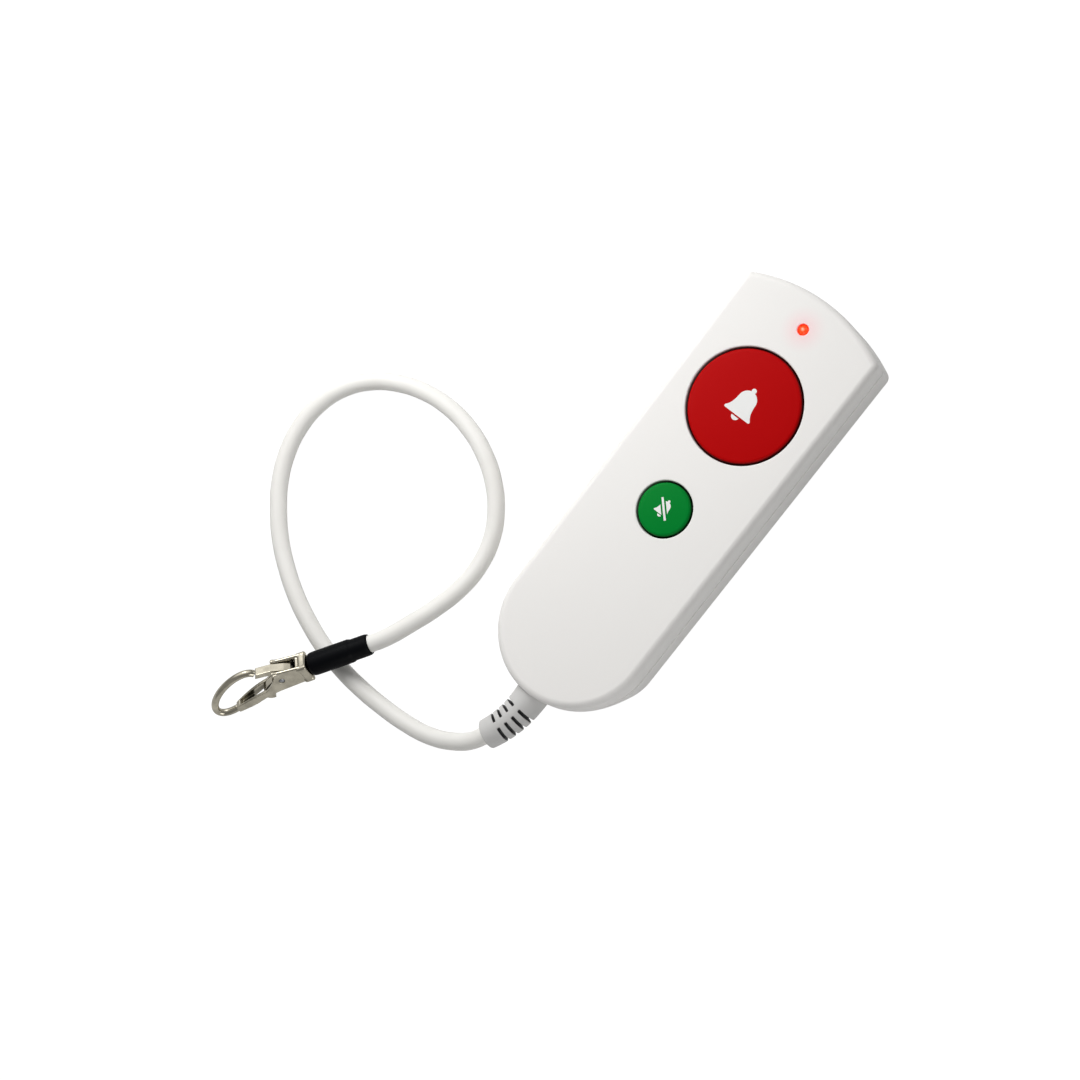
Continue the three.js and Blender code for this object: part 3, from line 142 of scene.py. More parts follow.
# Cord, relief, sleeve and clip
CORD_RADIUS = 2.6
RELIEF_RADIUS = 5.0
RELIEF_TIP_RADIUS = 4.4
RELIEF_FLANGE_Y = -63.3
RELIEF_ROOT_Y = -61.3
RELIEF_BEND_START = -70.8
RELIEF_BEND_LENGTH = 15.6
RELIEF_BEND_ANGLE = radians(30)
RELIEF_DROOP = 1.3
TAIL_HOLE_RADIUS = 5.25
FORK_Y = -61.0
FORK_THICK = 1.4
FORK_HALF = 8.0
STOP_END_Y = -56.1
CORD_ROUTE = (
    (-4.15, -85.97, 9.04), (-6.6, -89.9, 8.4), (-11.3, -93.7, 7.3), (-18.9, -97.2, 5.4),
    (-27.3, -99, 3.7), (-36, -99.8, 2.8), (-44.9, -99.9, 2.65), (-53.8, -99.2, 2.65),
    (-62.5, -97.6, 2.65), (-71.1, -94.9, 2.65), (-79.3, -91.4, 2.65), (-87.1, -86.9, 2.65),
    (-94.3, -81.6, 2.65), (-100.6, -75.3, 2.65), (-106, -68.2, 2.65), (-109.8, -60.2, 2.65),
    (-111.6, -51.6, 2.65), (-111, -42.9, 2.65), (-107.8, -34.9, 2.65), (-102.1, -28.3, 2.65),
    (-94.6, -23.6, 2.65), (-86, -20.8, 2.65), (-77.2, -20, 2.65), (-68.4, -21.1, 2.65),
    (-60, -24, 2.65), (-52.3, -28.6, 2.65), (-46, -34.7, 2.65), (-41.6, -42, 2.65),
    (-39.4, -50.2, 3.1), (-39.2, -58.7, 4.4), (-40.6, -67, 6.4), (-43.1, -75.2, 8.3),
    (-46.4, -83.3, 9.35), (-48.96, -87.33, 9.34), (-52.75, -92.85, 9.22),
)
CLIP_PLACE = Matrix.Translation((-0.06, -0.1034, 0.009)) @ Euler(
    (radians(25), radians(1), radians(-124.5)), "XYZ"
).to_matrix().to_4x4()


# Modelling steps shared by the pieces
def deselect_all():
    if bpy.context.mode != "OBJECT":
        bpy.ops.object.mode_set(mode="OBJECT")
    bpy.ops.object.select_all(action="DESELECT")


def pick(piece):
    deselect_all()
    piece.select_set(True)
    bpy.context.view_layer.objects.active = piece


def named(name):
    piece = bpy.context.object
    piece.name = name
    piece.data.name = name
    return piece


def settle(piece):
    """Moves a piece's place, turn and scale into its mesh."""
    pick(piece)
    bpy.ops.object.transform_apply(location=True, rotation=True, scale=True)
    return piece


def apply_modifiers(piece):
    pick(piece)
    for modifier in list(piece.modifiers):
        bpy.ops.object.modifier_apply(modifier=modifier.name)


def face_outward():
    """Turns the faces of the mesh being edited outward, and ends the editing."""
    bpy.ops.mesh.select_all(action="SELECT")
    bpy.ops.mesh.normals_make_consistent(inside=False)
    bpy.ops.object.mode_set(mode="OBJECT")


def loft(name, rings):
    """A closed skin over rings of equally many points, extruded from one ring to the next."""
    deselect_all()
    bpy.ops.mesh.primitive_circle_add(vertices=len(rings[0]), radius=1, fill_type="NGON")
    piece = named(name)
    for vertex, point in zip(piece.data.vertices, rings[0]):
        vertex.co = Vector(point) * MM
    spots = {tuple(vertex.co): order for order, vertex in enumerate(piece.data.vertices)}
    bpy.ops.object.mode_set(mode="EDIT")
    bpy.ops.mesh.select_all(action="SELECT")
    for ring in rings[1:]:
        bpy.ops.mesh.extrude_region_move()
        shape = bmesh.from_edit_mesh(piece.data)
        moved = {}
        for vertex in [v for v in shape.verts if v.select]:
            order = spots[tuple(vertex.co)]
            vertex.co = Vector(ring[order]) * MM
            moved[tuple(vertex.co)] = order
        bmesh.update_edit_mesh(piece.data)
        spots = moved
    face_outward()
    return piece


AXES = {"X": ((1, 0, 0), (0, 1, 0)), "Y": ((0, 1, 0), (1, 0, 0)), "Z": ((0, 0, 1), (1, 0, 0))}
WELD = 0.000002


def turned(name, profile, centre=(0, 0, 0), axis="Z", sides=64):
    """A revolve of a closed profile of (radius, height) points about an axis through centre."""
    along, across = (Vector(direction) for direction in AXES[axis])
    middle = Vector(centre)
    deselect_all()
    bpy.ops.mesh.primitive_circle_add(vertices=len(profile), radius=1, fill_type="NOTHING")
    piece = named(name)
    for vertex, (radius, height) in zip(piece.data.vertices, profile):
        vertex.co = (middle + across * radius + along * height) * MM
    bpy.ops.object.mode_set(mode="EDIT")
    bpy.ops.mesh.select_all(action="SELECT")
    bpy.ops.mesh.spin(steps=sides, angle=FULL_TURN, center=middle * MM, axis=along)
    bpy.ops.mesh.select_all(action="SELECT")
    bpy.ops.mesh.remove_doubles(threshold=WELD)
    bpy.ops.mesh.delete_loose()
    face_outward()
    return piece


def rod(name, low, high, radius, centre=(0, 0, 0), axis="Z", sides=64):
    return turned(name, [(0, low), (radius, low), (radius, high), (0, high)], centre, axis, sides)


def tube(name, low, high, inner, outer, y, sides=64):
    return turned(name, [(inner, low), (outer, low), (outer, high), (inner, high)], (0, y, 0), sides=sides)


def post(name, x, y, low, high, radius, sides=32):
    """An upright cylinder between two heights."""
    deselect_all()
    bpy.ops.mesh.primitive_cylinder_add(
        vertices=sides,
        radius=radius * MM,
        depth=(high - low) * MM,
        location=(x * MM, y * MM, (low + high) / 2 * MM),
    )
    return settle(named(name))


def block(name, low, high, rounding=0.0, segments=2):
    """A box between two corners, with its edges rounded."""
    deselect_all()
    middle = [(a + b) / 2 * MM for a, b in zip(low, high)]
    bpy.ops.mesh.primitive_cube_add(size=1, location=middle)
    piece = named(name)
    piece.scale = [(b - a) * MM for a, b in zip(low, high)]
    settle(piece)
    if rounding:
        bevel = piece.modifiers.new("edges", "BEVEL")
        bevel.width = rounding * MM
        bevel.segments = segments
        bevel.limit_method = "ANGLE"
        bevel.angle_limit = radians(30)
        apply_modifiers(piece)
    return piece


def span(name, first, second, low, high, *rounding):
    """A block between two x values in either order, with the other two ranges as (y, z)."""
    left, right = min(first, second), max(first, second)
    return block(name, (left, *low), (right, *high), *rounding)


def prism(name, outline, low, high, axis="Z"):
    """An outline pushed along an axis: (x, y) for Z, and (x, z) for Y."""
    if axis == "Z":
        rings = [[(x, y, level) for x, y in outline] for level in (low, high)]
    else:
        rings = [[(x, level, z) for x, z in outline] for level in (low, high)]
    return loft(name, rings)


def gather(name, pieces):
    """Several separate shapes as one mesh."""
    deselect_all()
    for piece in pieces:
        piece.select_set(True)
    bpy.context.view_layer.objects.active = pieces[0]
    bpy.ops.object.join()
    return named(name)


def combine(piece, tools, operation):
    for tool in tools:
        step = piece.modifiers.new("form", "BOOLEAN")
        step.operation = operation
        step.solver = "EXACT"
        step.object = tool
        apply_modifiers(piece)
        bpy.data.objects.remove(tool, do_unlink=True)
    return piece


def carve(piece, *tools):
    return combine(piece, tools, "DIFFERENCE")


def fuse(piece, *tools):
    return combine(piece, tools, "UNION")


def keep_inside(piece, *tools):
    return combine(piece, tools, "INTERSECT")


def smooth(piece, angle=32):
    pick(piece)
    bpy.ops.object.shade_smooth_by_angle(angle=radians(angle))
    return piece


def even_shading(piece):
    """Smooth faces whose large flats stay flat."""
    smooth(piece)
    weigh = piece.modifiers.new("weigh", "WEIGHTED_NORMAL")
    weigh.keep_sharp = True
    weigh.weight = 100
    apply_modifiers(piece)
    return piece


def cast(piece, voxel, passes):
    """Melts the edges of a moulded or cast piece together."""
    remesh = piece.modifiers.new("melt", "REMESH")
    remesh.mode = "VOXEL"
    remesh.voxel_size = voxel * MM
    ease = piece.modifiers.new("ease", "SMOOTH")
    ease.factor = 0.5
    ease.iterations = passes
    apply_modifiers(piece)
    pick(piece)
    bpy.ops.object.shade_smooth()
    return piece


def dress(piece, slot, body, *nodes, material=None):
    """Gives a finished piece its finish, the body that it rides on and the nodes it stands for."""
    piece.data.materials.clear()
    piece.data.materials.append(material or FINISHES[slot])
    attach(piece, body)
    if nodes:
        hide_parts(*nodes)
    return piece


def arc(centre, radius, start, stop, steps):
    """Points of an arc in a plane, with its angles in degrees."""
    points = []
    for step in range(steps + 1):
        angle = radians(start + (stop - start) * step / steps)
        points.append((centre[0] + radius * cos(angle), centre[1] + radius * sin(angle)))
    return points


def bend(start, control, stop, steps):
    """Points of a quadratic curve, without its start."""
    points = []
    for step in range(1, steps + 1):
        t = step / steps
        points.append(
            tuple((1 - t) ** 2 * a + 2 * t * (1 - t) * b + t * t * c for a, b, c in zip(start, control, stop))
        )
    return points


def bend_on(points, control, stop, steps):
    points += bend(points[-1], control, stop, steps)


def clamp(value):
    return min(max(value, 0), 1)


def mark(piece, depth_at):
    """Stores on each point how deep it lies in a hollow, for the shade that the finish paints there."""
    depth = piece.data.attributes.new("depth", "FLOAT", "POINT")
    for vertex, spot in zip(piece.data.vertices, depth.data):
        spot.value = clamp(depth_at(vertex.co / MM, vertex.normal))


def quarter(first, steps):
    """Cosine and sine of each step of a quarter turn, from step first on."""
    angles = [QUARTER_TURN * step / steps for step in range(first, steps + 1)]
    return [(cos(angle), sin(angle)) for angle in angles]


def sweep_rings(centres, radius_at, sides, up=(0, 0, 1)):
    """Round sections square to a path, turned as little as possible from one to the next."""
    places = [Vector(centre) for centre in centres]
    turns = [FULL_TURN * i / sides for i in range(sides)]
    last = len(places) - 1
    side = None
    rings = []
    for order, place in enumerate(places):
        ahead = (places[min(order + 1, last)] - places[max(order - 1, 0)]).normalized()
        side = Vector(up).cross(ahead) if side is None else side - ahead * side.dot(ahead)
        side.normalize()
        rise = ahead.cross(side)
        reach = radius_at(order / last)
        rings.append(
            [place + side * reach * cos(turn) + rise * reach * sin(turn) for turn in turns]
        )
    return rings


def wound(name, point_at, turns, turn_steps, wire, sides):
    """A round wire on a helix: point_at gives its centre from an angle and the share of its length."""
    steps = round(turns * turn_steps)
    centres = [point_at(FULL_TURN * step / turn_steps, step / steps) for step in range(steps + 1)]
    return smooth(loft(name, sweep_rings(centres, lambda share: wire, sides)), 60)


# Materials and other node trees
class Link:
    """A socket's value, with arithmetic as operators."""

    def __init__(self, tree, socket):
        self.tree = tree
        self.socket = socket

    def math(self, operation, other):
        return self.tree.node("Math", {"operation": operation}, self, other)

    def __add__(self, other):
        return self.math("ADD", other)

    def __sub__(self, other):
        return self.math("SUBTRACT", other)

    def __mul__(self, other):
        return self.math("MULTIPLY", other)

    def __pow__(self, other):
        return self.math("POWER", other)


class Tree:
    """The node tree of a material or a world."""

    def __init__(self, owner):
        owner.use_nodes = True
        self.nodes = owner.node_tree.nodes
        self.links = owner.node_tree.links

    def feed(self, socket, value):
        if isinstance(value, Link):
            self.links.new(value.socket, socket)
        else:
            socket.default_value = value

    def add(self, kind, settings=None, *values, **named_values):
        made = self.nodes.new("ShaderNode" + kind)
        for key, value in (settings or {}).items():
            setattr(made, key, value)
        for socket, value in zip(made.inputs, values):
            self.feed(socket, value)
        for key, value in named_values.items():
            self.feed(made.inputs[key], value)
        return made

    def node(self, kind, settings=None, *values, output=0, **named_values):
        """Adds a node and gives one of its outputs."""
        return Link(self, self.add(kind, settings, *values, **named_values).outputs[output])

    def shown_as(self, shader, ray, share, strength):
        """Mixes plain light into a shader for one kind of ray, by a share."""
        weight = self.node("LightPath", output=ray) * share
        light = self.node("Emission", Strength=strength)
        return self.node("MixShader", None, weight, shader, light)


class Recipe(Tree):
    """One finish: a shader, its constants, and what varies over the surface."""

    def __init__(self, name, color, roughness, metallic=0.0, **constants):
        self.material = bpy.data.materials.new(name)
        super().__init__(self.material)
        self.shader = self.nodes["Principled BSDF"]
        self.tone = None
        self.set("Base Color", (*color, 1))
        self.set("Roughness", roughness)
        self.set("Metallic", metallic)
        for socket, value in constants.items():
            self.set(socket.replace("_", " "), value)

    def set(self, socket, value):
        self.feed(self.shader.inputs[socket], value)

    def place(self):
        return self.node("TexCoord", output="Object")

    def noise(self, scale, detail=2.0, vector=None):
        spot = vector or self.place()
        return self.node("TexNoise", None, Vector=spot, Scale=scale, Detail=detail)

    def marked(self):
        """The depth that a piece stores on its points."""
        return self.node("Attribute", {"attribute_name": "depth"}, output="Fac")

    def rising(self, value, low, high):
        """0 where the value is at low, 1 where it is at high."""
        return self.node("MapRange", {"clamp": True}, value, low, high, 0.0, 1.0)

    def blend(self, factor, first, second):
        made = self.add("Mix", {"data_type": "RGBA"}, factor)
        colors = [socket for socket in made.inputs if socket.type == "RGBA"]
        for socket, value in zip(colors, (first, second)):
            self.feed(socket, value if isinstance(value, Link) else (*value, 1))
        return Link(self, [socket for socket in made.outputs if socket.type == "RGBA"][0])

    def paint(self, color):
        self.tone = color
        self.set("Base Color", color)

    def emboss(self, height, strength, depth):
        made = self.node("Bump", None, Strength=strength, Distance=depth * MM, Height=height)
        self.set("Normal", made)

    def apart(self):
        """The place on the piece in millimetres, as x, y and z."""
        parts = self.add("SeparateXYZ", None, self.place())
        return [Link(self, parts.outputs[axis]) * (1 / MM) for axis in ("X", "Y", "Z")]

    def lamp_distance(self):
        x, y, _ = self.apart()
        return (x * x + (y - LAMP_Y) * (y - LAMP_Y)) ** 0.5


def srgb(red, green, blue):
    def linear(value):
        share = value / 255
        return share / 12.92 if share <= 0.04045 else ((share + 0.055) / 1.055) ** 2.4

    return tuple(linear(value) for value in (red, green, blue))


def shaded(color, share):
    return tuple(c * share for c in color)


def moulded(name, color, roughness, grain=0.4, grain_size=0.35, depth=0.012, shade=0.04, **constants):
    """Moulded plastic: fine spark grain, slightly uneven gloss and the faintest unevenness of tone."""
    recipe = Recipe(name, color, roughness, **constants)
    broad = recipe.noise(35.0, 3.0)
    fine = recipe.noise(1 / (grain_size * MM), 3.0)
    recipe.paint(recipe.blend(broad * 0.6 + fine * 0.4, shaded(color, 1 - shade), color))
    recipe.set("Roughness", broad * 0.08 + fine * 0.06 + (roughness - 0.07))
    recipe.emboss(fine, grain, depth)
    return recipe


GLOW_REACH = 7.4
GLOW_START = 0.6
GLOW_FALL = 1.6
GLOW_SHARE = 0.6


def shell_material():
    """White shell, with the lit lamp's glow painted pink onto it for a few millimetres round it."""
    recipe = moulded("shell white", srgb(241, 239, 236), 0.42, 0.6, 0.5, 0.03, 0.035)
    height = recipe.apart()[2]
    # Painted glow: the lamp's light is painted as a pink tint on the face round the lamp.
    near = recipe.rising(recipe.lamp_distance(), GLOW_REACH, GLOW_START) ** GLOW_FALL
    near = near * recipe.rising(height, BODY_THICK - 2, BODY_THICK)
    recipe.paint(recipe.blend(near * GLOW_SHARE, recipe.tone, srgb(255, 192, 200)))
    return recipe.material


def relief_material():
    """Soft grey plastic, dark down in the slots, where the light hardly reaches."""
    recipe = moulded("relief grey", srgb(208, 207, 205), 0.5, 0.4, 0.3, 0.01, 0.05)
    recipe.paint(recipe.blend(recipe.marked(), recipe.tone, srgb(26, 26, 27)))
    return recipe.material


def cord_material():
    recipe = Recipe("cord jacket", srgb(232, 230, 226), 0.34, Specular_IOR_Level=0.25)
    broad = recipe.noise(60.0, 3.0)
    recipe.paint(recipe.blend(broad, srgb(230, 228, 223), srgb(241, 240, 236)))
    recipe.set("Roughness", broad * 0.12 + 0.28)
    recipe.emboss(recipe.noise(2600.0), 0.25, 0.01)
    return recipe.material


HOLLOW_SHADE_SHARE = 0.07


def metal(name, color, roughness, dark, scratch=0.2):
    """Plated metal with the finest scratches, and shade painted dark in the hollows that a piece marks."""
    recipe = Recipe(name, color, roughness, 1.0)
    cloud = recipe.rising(recipe.noise(260.0, 4.0), 0.36, 0.64)
    stretch = recipe.node("Mapping", None, Vector=recipe.place(), Scale=(1.0, 6.0, 6.0))
    fine = recipe.noise(900.0, 3.0, stretch)
    recipe.paint(recipe.blend(cloud, shaded(color, dark), color))
    # Painted shade: the marked hollows are darkened to a few hundredths of the colour.
    recipe.paint(recipe.blend(recipe.marked(), recipe.tone, shaded(color, HOLLOW_SHADE_SHARE)))
    recipe.set("Roughness", cloud * 0.1 + fine * 0.08 + (roughness - 0.08))
    recipe.emboss(fine * 0.5 + cloud, scratch, 0.006)
    return recipe.material


WEAVE_RATE = 9.0


def board_material():
    """Green laminate with the weave of its glass cloth just showing."""
    recipe = Recipe("board laminate", srgb(24, 92, 52), 0.4)
    threads = [(axis * WEAVE_RATE).math("SINE", 0.0) for axis in recipe.apart()[:2]]
    recipe.paint(recipe.blend(recipe.noise(120.0, 3.0), srgb(20, 84, 46), srgb(32, 104, 60)))
    recipe.emboss(threads[0] * threads[1], 0.2, 0.01)
    return recipe.material


CELL_SHOULDER_Y = -22.7


def wrap_material():
    """The cell's plain blue sleeve, with bare steel beyond its shoulder."""
    recipe = moulded("cell wrap", srgb(44, 62, 104), 0.34, 0.2, 0.5, 0.006, 0.15)
    bare = recipe.rising(recipe.apart()[1], CELL_SHOULDER_Y, CELL_SHOULDER_Y + 0.3)
    recipe.paint(recipe.blend(bare, recipe.tone, srgb(190, 190, 192)))
    recipe.set("Metallic", bare)
    return recipe.material


def lamp_material():
    """The lit lamp: an orange-red dome with a pale middle."""
    recipe = Recipe("lamp lit", srgb(255, 70, 20), 0.18)
    middle = recipe.rising(recipe.lamp_distance(), 0.65, 0.1)
    recipe.paint(recipe.blend(recipe.noise(1200.0), srgb(255, 60, 16), srgb(255, 84, 30)))
    recipe.set("Emission Color", recipe.blend(middle, (1.0, 0.028, 0.002), (1.0, 0.4, 0.28)))
    recipe.set("Emission Strength", 1.0)
    return recipe.material


CAP_SHADE_TOP = BODY_THICK + 0.15
CAP_SHADE_LOW = BODY_THICK - 0.45
CAP_SHADE = 0.12


def cap_material(name, color):
    """Moulded cap, with shade painted on its wall down in the gap round it."""
    recipe = moulded(name, color, 0.36, 0.4, 0.45, 0.016, 0.1, Specular_IOR_Level=0.05)
    # Painted shade: the wall below the face is darkened where the gap's shadow falls.
    gap_shade = recipe.rising(recipe.apart()[2], CAP_SHADE_TOP, CAP_SHADE_LOW)
    recipe.paint(recipe.blend(gap_shade, recipe.tone, shaded(color, CAP_SHADE)))
    return recipe.material


SLEEVE_GRAIN = (0.45, 0.3, 0.4, 0.01, 0.2)
PART_GRAIN = (0.45, 0.5, 0.3, 0.01, 0.2)
FINISHES = {
    "shell_plastic": shell_material(),
    "button_red": cap_material("call red", srgb(182, 6, 8)),
    "button_green": cap_material("cancel green", srgb(2, 129, 47)),
    "lamp_plastic": lamp_material(),
    "relief_plastic": relief_material(),
    "cord_jacket": cord_material(),
    "sleeve_rubber": moulded("sleeve black", srgb(7, 8, 11), *SLEEVE_GRAIN, Specular_IOR_Level=0.07).material,
    "clip_nickel": metal("clip nickel", srgb(218, 211, 192), 0.14, 0.7, 0.05),
    "spring_steel": metal("spring steel", srgb(176, 178, 182), 0.3, 0.8),
    "board_laminate": board_material(),
    "black_plastic": moulded("part black", srgb(30, 30, 33), *PART_GRAIN).material,
    "cell_wrap": wrap_material(),
    "brass_wire": metal("brass leaf", srgb(200, 168, 92), 0.3, 0.8),
    "red_wire": moulded("wire red", srgb(176, 24, 24), 0.45, 0.3, 0.2, 0.006, 0.08).material,
    "black_wire": moulded("wire black", srgb(24, 24, 27), 0.45, 0.3, 0.2, 0.006, 0.15).material,
}
PRINT_WHITE = moulded("printed white", srgb(238, 238, 236), 0.5, 0.3, 0.2, 0.006, 0.03).material
# Camera, at the photograph's viewing angle
camera_data = bpy.data.cameras.new("camera")
camera_data.lens = 105.48
camera_data.sensor_width = 36
camera_data.sensor_fit = "HORIZONTAL"
camera_data.clip_start = 0.05
camera = bpy.data.objects.new("camera", camera_data)
bpy.context.collection.objects.link(camera)
CAMERA_PLACE = (0.28699, 0.01369, 0.85396)
CAMERA_TURN = Matrix(
    (
        (0.73215536, -0.58551736, 0.34802004),
        (0.60850209, 0.79184247, 0.05206436),
        (-0.30606163, 0.17365172, 0.93604025),
    )
)
camera.matrix_world = Matrix.Translation(CAMERA_PLACE) @ CAMERA_TURN.to_4x4()
bpy.context.scene.camera = camera


# Cord: one open curve along its route, and the length of it that the housing hides
def relief_point(start_y, along):
    """A point of the relief's axis, so far along it from start_y, in millimetres."""
    straight = start_y - RELIEF_BEND_START
    if along <= straight:
        return (0.0, start_y - along, PARTING)
    bent = (along - straight) / RELIEF_BEND_LENGTH
    radius = RELIEF_BEND_LENGTH / RELIEF_BEND_ANGLE
    angle = RELIEF_BEND_ANGLE * bent
    return (
        -radius * (1 - cos(angle)),
        RELIEF_BEND_START - radius * sin(angle),
        PARTING - RELIEF_DROOP * bent * bent,
    )


def relief_path(start_y, steps):
    length = start_y - RELIEF_BEND_START + RELIEF_BEND_LENGTH
    return [relief_point(start_y, length * step / steps) for step in range(steps + 1)]


def make_cord():
    deselect_all()
    bpy.ops.curve.primitive_bezier_curve_add()
    piece = named("cord_run")
    piece.location = (0, 0, 0)
    curve = piece.data
    curve.dimensions = "3D"
    curve.bevel_depth = CORD_RADIUS * MM
    curve.bevel_resolution = 6
    curve.use_fill_caps = True
    spline = curve.splines[0]
    spline.bezier_points.add(len(CORD_ROUTE) - 2)
    for point, place in zip(spline.bezier_points, CORD_ROUTE):
        point.co = Vector(place) * MM
        point.handle_left_type = "AUTO"
        point.handle_right_type = "AUTO"
    spline.resolution_u = 8
    return piece


def make_inner_cord():
    centres = relief_path(STOP_END_Y, 30) + [CORD_ROUTE[0]]
    return smooth(loft("cord_root", sweep_rings(centres, lambda share: CORD_RADIUS, 28)), 60)


cord_run = dress(make_cord(), "cord_jacket", "housing", "cord")
cord_root = dress(make_inner_cord(), "cord_jacket", "housing", "cord_inner_end")
# Housing: the outline at an inset and a taper, as the solids have it with more points
TAIL_STEPS = 72


def housing_outline(inset, taper):
    half_top = (TOP_WIDTH + (BASE_TOP_WIDTH - TOP_WIDTH) * taper) / 2 - inset
    half_tail = (TAIL_WIDTH + (BASE_TAIL_WIDTH - TAIL_WIDTH) * taper) / 2 - inset
    tail_reach = TAIL_WIDTH / 2 - BASE_TAIL_RISE * taper - inset
    tail_centre = -HALF_LENGTH + TAIL_WIDTH / 2
    radius = TOP_ARC_RADIUS - inset
    middle = HALF_LENGTH - TOP_ARC_RADIUS
    corner = max(TOP_CORNER_RADIUS - inset, 0.3)
    corner_x = half_top - corner
    corner_y = middle + sqrt((radius - corner) ** 2 - corner_x**2)
    start = degrees(atan2(corner_y - middle, corner_x))
    points = arc((corner_x, corner_y), corner, 0, start, 6)
    points += arc((0, middle), radius, start, 180 - start, 28)[1:-1]
    points += arc((-corner_x, corner_y), corner, 180 - start, 180, 6)
    for step in range(TAIL_STEPS + 1):
        angle = pi * (1 + step / TAIL_STEPS)
        points.append((half_tail * cos(angle), tail_centre + tail_reach * sin(angle)))
    return points


def ring(level, inset, taper=0.0):
    return [(x, y, level) for x, y in housing_outline(inset, taper)]


def boat_taper(level):
    return clamp(1 - level / PARTING) ** BOAT_TAIL_POWER


def edge_rings(radius, steps, ring_at):
    return [ring_at(radius * (1 - across), radius * up) for across, up in quarter(1, steps)]


def front_skin():
    edge_start = BODY_THICK - FACE_EDGE_RADIUS
    rings = [
        ring(FRONT_RIM, RIM_UNDERCUT),
        ring(FRONT_RIM + RIM_UNDERCUT_HEIGHT * 0.6, RIM_UNDERCUT * 0.25),
        ring(FRONT_RIM + RIM_UNDERCUT_HEIGHT, 0),
        ring((FRONT_RIM + edge_start) / 2, 0),
        ring(edge_start, 0),
    ]
    rings += edge_rings(FACE_EDGE_RADIUS, 9, lambda inset, rise: ring(edge_start + rise, inset))
    return loft("front_shell", rings)


def rear_skin(name):
    def base_ring(inset, drop):
        level = BASE_EDGE_RADIUS - drop
        return ring(level, inset, boat_taper(level))

    rings = edge_rings(BASE_EDGE_RADIUS, 7, base_ring)[::-1]
    for share in (0.235, 0.33, 0.42, 0.54, 0.66, 0.78, 0.9):
        level = REAR_RIM * share
        rings.append(ring(level, 0, boat_taper(level)))
    for angle in (0, 22, 45, 68, 90):
        drop = REAR_EASE * (1 - sin(radians(angle)))
        inset = REAR_EASE * (1 - cos(radians(angle)))
        rings.append(ring(REAR_RIM - drop, inset, boat_taper(REAR_RIM - drop)))
    return loft(name, rings)


def hole_tool(name, y, radius, ease):
    """A cutter for a round hole whose outer edge is rounded over."""
    low = FACE_INSIDE - OVERRUN
    high = BODY_THICK + OVERRUN
    edge = BODY_THICK - ease
    profile = [(0, low), (radius, low)]
    profile += [(radius + ease - ease * across, edge + ease * up) for across, up in quarter(0, 5)]
    profile += [(radius + ease, high), (0, high)]
    return turned(name, profile, (0, y, 0), sides=112)


def tail_hole():
    return rod("tail_hole", 0, 8, TAIL_HOLE_RADIUS, (0, -HALF_LENGTH - OVERRUN, PARTING), "Y")


GUIDE_GAP = 0.4
GUIDE_WALL = 1.2
GUIDE_DROP = 3
ROOTING = 0.4
CEILING = FACE_INSIDE + ROOTING


def guide_ring(y, radius):
    inner = radius + CAP_FLANGE_REACH + GUIDE_GAP
    return tube("guide", FACE_INSIDE - GUIDE_DROP, CEILING, inner, inner + GUIDE_WALL, y, 72)


def fork_rib(low, high):
    rib = block("fork", (-FORK_HALF, FORK_Y, low), (FORK_HALF, FORK_Y + FORK_THICK, high))
    return carve(rib, rod("notch", 0, 4, CORD_RADIUS + SEAT_GAP, (0, FORK_Y - 1, PARTING), "Y", 32))


def make_front():
    shell = front_skin()
    inner = [ring(FRONT_RIM - OVERRUN, SHELL_WALL), ring(FACE_INSIDE - 1, SHELL_WALL)]
    cavity = loft("cavity", inner + [ring(FACE_INSIDE, SHELL_WALL + 1)])
    lap = LIP_INSET - LIP_GAP
    rabbet = loft("rabbet", [ring(FRONT_RIM - OVERRUN, lap), ring(FRONT_RIM + LIP_HEIGHT + LIP_GAP, lap)])
    carve(shell, cavity, rabbet)
    seat = BOARD_TOP + SEAT_GAP
    inside = [post("boss", x, y, FRONT_RIM, CEILING, BOSS_RADIUS) for x, y in SCREW_PLACES]
    inside += [post("board_post", x, y, seat, CEILING, BOARD_POST_RADIUS) for x, y in BOARD_POSTS]
    fuse(shell, gather("inside", inside), guide_ring(CALL_Y, CALL_RADIUS))
    fuse(shell, guide_ring(CANCEL_Y, CANCEL_RADIUS), fork_rib(PARTING + PARTING_GAP, CEILING))
    carve(
        shell,
        hole_tool("call_hole", CALL_Y, CALL_RADIUS + CAP_GAP, 0.5),
        hole_tool("cancel_hole", CANCEL_Y, CANCEL_RADIUS + CAP_GAP, 0.45),
        hole_tool("lamp_hole", LAMP_Y, LAMP_HOLE_RADIUS, 0.2),
        tail_hole(),
    )
    return even_shading(shell)


RECESS_EASE = ((-OVERRUN, 0.25), (0, 0.25), (0.08, 0.08), (0.25, 0), (DOOR_THICK + DOOR_GAP, 0))


def recess_tool():
    """The door's recess in the base, with its edge eased, up to the slots for the door's hooks."""
    tail = -HALF_LENGTH - OVERRUN
    rings = []
    for level, spread in RECESS_EASE:
        half = DOOR_HALF + DOOR_GAP + spread
        top = DOOR_TOP_Y + DOOR_GAP + spread
        rings.append([(-half, tail, level), (half, tail, level), (half, top, level), (-half, top, level)])
    return loft("recess", rings)


def slot_tools():
    tools = []
    ceiling = LEDGE_TOP + OVERRUN
    for y in HOOK_YS:
        low = y - HOOK_LENGTH / 2 - DOOR_TRAVEL - DOOR_GAP
        high = y + HOOK_LENGTH / 2 + DOOR_GAP
        for side in (-1, 1):
            near = side * (HOOK_X - DOOR_GAP)
            stem = side * (HOOK_X + HOOK_STEM + DOOR_GAP)
            foot = side * (HOOK_X + HOOK_STEM + HOOK_REACH + DOOR_GAP)
            tools.append(span("lane", near, stem, (low, 0), (high, ceiling)))
            tools.append(span("pocket", near, foot, (low, 0), (high - DOOR_TRAVEL, ceiling)))
    return tools


